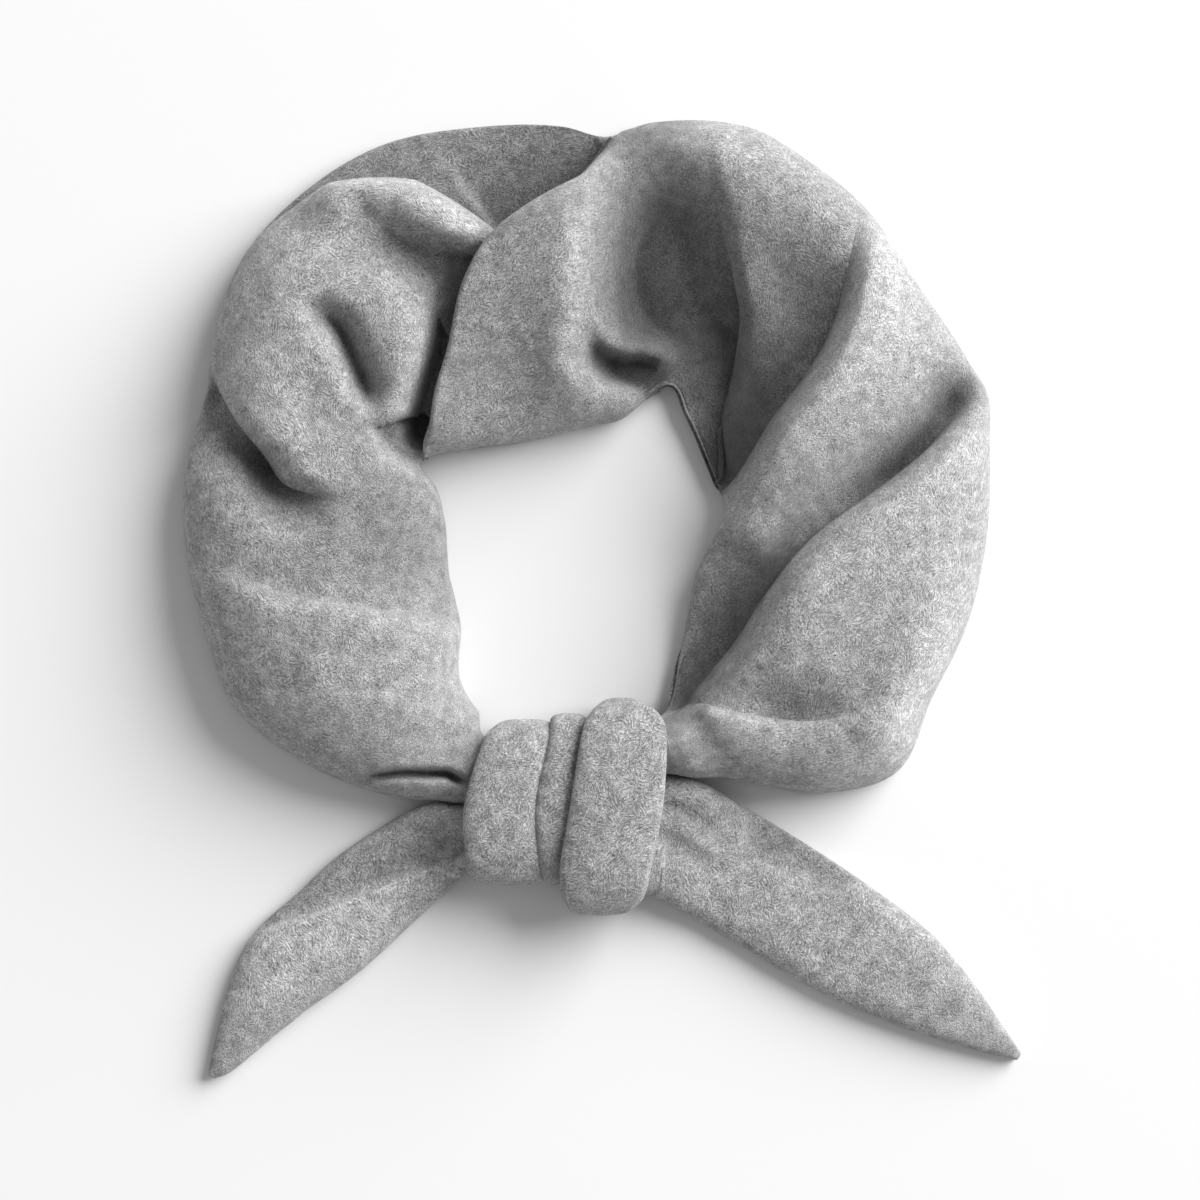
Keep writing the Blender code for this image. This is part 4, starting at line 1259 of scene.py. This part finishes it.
@dataclass
class Tails:
    """Both free ends."""

    knot: Knot = field(default_factory=Knot)
    wool: Wool = field(default_factory=lambda: Wool("wool_tail"))
    left_length: float = 0.1475
    left_width: float = 0.0375
    right_length: float = 0.1755
    right_width: float = 0.0455
    left_rows: Rows = (
        (0.0, 0.0, 0.61, 1.35), (0.12, 0.001, 0.61, 1.35), (0.19, 0.006, 0.66, 1.2),
        (0.24, 0.026, 0.84, 1.0), (0.4, 0.148, 0.99, 0.95), (0.5, 0.24, 0.99, 0.95),
        (0.61, 0.331, 0.94, 0.92), (0.68, 0.422, 0.73, 0.85), (0.735, 0.509, 0.47, 0.72),
        (0.775, 0.573, 0.27, 0.6), (0.803, 0.606, 0.1, 0.5),
    )
    right_rows: Rows = (
        (0.0, 0.0, 0.978, 1.3), (0.11, 0.0, 0.978, 1.3), (0.16, 0.004, 0.985, 1.1),
        (0.228, 0.045, 0.995, 1.0), (0.368, 0.128, 0.99, 0.95), (0.513, 0.219, 0.955, 0.95),
        (0.632, 0.291, 0.84, 0.92), (0.735, 0.362, 0.6, 0.85), (0.815, 0.42, 0.34, 0.7),
        (0.888, 0.47, 0.07, 0.5),
    )
    # The shade and light strips have no height: they paint shade and a highlight into the colour only, and
    # the crease paints shade at its foot and a highlight on its edge.
    left_shapes: tuple = (
        Fold(LEFT_TAIL_CREASE, Toward.LEFT, 0.001, 0.0024, 0.012, 0.013, roll=0.0022, come=0.05, go=0.15,
             soft=0.2, tone_and_painted_light=-0.35, shine=1.0),
        Ridge(LEFT_TAIL_SHADE, 0.0, 0.006, 0.006, come=0.05, go=0.3, tone_and_painted_light=-0.15),
        Ridge(LEFT_TAIL_LIGHT, 0.0, 0.009, 0.009, come=0.05, go=0.1, tone_and_painted_light=0.9),
    )
    # The third ridge has no height and paints a highlight only; the grooves also paint shade.
    right_shapes: tuple = (
        Ridge(Route(((0.06, -0.103), (0.0824, -0.1145), (0.106, -0.13))), -0.004, 0.007, 0.009, tone_and_painted_light=-0.3),
        Ridge(Route(((0.0872, -0.1552), (0.0975, -0.147), (0.1079, -0.1393))), -0.0012, 0.0015, 0.003),
        Ridge(Route(((0.08, -0.16), (0.092, -0.163), (0.106, -0.17))), 0.0, 0.007, 0.007, tone_and_painted_light=0.6),
        Ridge(Route(((0.029, -0.094), (0.043, -0.099), (0.06, -0.11))), -0.0022, 0.003, 0.005,
              come=0.05, go=0.5, tone_and_painted_light=-0.3),
        Ridge(Route(((0.029, -0.105), (0.043, -0.112), (0.06, -0.125))), -0.0018, 0.003, 0.005,
              come=0.05, go=0.5, tone_and_painted_light=-0.3),
    )

    def build(self) -> None:
        """Make both tails."""
        knot = self.knot
        left_root = (knot.left_face + 0.85 * knot.left_length,
                     -(knot.left_reach + knot.left_strand + knot.gap + knot.left_root / 2))
        right_root = (knot.right_face - 0.7 * knot.right_length,
                      -(knot.right_reach + knot.right_strand + knot.gap + knot.right_root / 2))
        Tail("left_tail", -1, self.left_length, self.left_width, left_root, self.left_rows, self.wool,
             self.left_shapes).build()
        Tail("right_tail", 1, self.right_length, self.right_width, right_root, self.right_rows, self.wool,
             self.right_shapes).build()


@dataclass
class Studio:
    """White table, soft light from the upper right, and a camera straight above."""

    table_size: float = 6.0
    table_grey: float = 0.92
    lens: float = 150.0
    sensor: float = 36.0
    sky: float = 0.31
    key_power: float = 1120.0
    key_size: float = 7.6
    key_place: tuple[float, float, float] = (5.6, 3.9, 4.1)

    def table(self) -> None:
        """A wide table top."""
        mesh = flat_grid("table_top", 3, 3, self.table_size / 2)
        table = link("table_top", mesh)
        material = bpy.data.materials.new("white_table")
        material.use_nodes = True
        shader = material.node_tree.nodes["Principled BSDF"]
        shader.inputs["Base Color"].default_value = (self.table_grey,) * 3 + (1.0,)
        shader.inputs["Roughness"].default_value = 0.9
        shader.inputs["Specular IOR Level"].default_value = 0.1
        mesh.materials.append(material)

    def lights(self) -> None:
        """One large soft light, and an even white sky."""
        scene = bpy.context.scene
        world = bpy.data.worlds.new("sky")
        world.use_nodes = True
        background = world.node_tree.nodes["Background"]
        background.inputs["Color"].default_value = (1.0, 1.0, 1.0, 1.0)
        background.inputs["Strength"].default_value = self.sky
        scene.world = world
        lamp = bpy.data.lights.new("key", "AREA")
        lamp.shape = "DISK"
        lamp.size = self.key_size
        lamp.energy = self.key_power
        key = link("key", lamp)
        key.location = self.key_place
        key.rotation_euler = (-Vector(self.key_place)).to_track_quat("-Z", "Y").to_euler()

    def camera(self) -> None:
        """A long lens that looks straight down."""
        scene = bpy.context.scene
        data = bpy.data.cameras.new("camera")
        data.lens = self.lens
        data.sensor_width = self.sensor
        camera = link("camera", data)
        distance = PICTURE_WIDTH * self.lens / self.sensor
        camera.location = (*PICTURE_MIDDLE, PICTURE_LEVEL + distance)
        data.clip_end = 20.0
        scene.camera = camera

    def build(self) -> None:
        """Set up the table, the lights and the camera."""
        self.table()
        self.lights()
        self.camera()
        bpy.context.scene.view_settings.view_transform = "Standard"


def main() -> None:
    """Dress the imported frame."""
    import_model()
    Neckband().build()
    KnotTurns().build()
    Tails().build()
    Studio().build()
    bpy.context.view_layer.update()


if __name__ == "__main__":
    main()
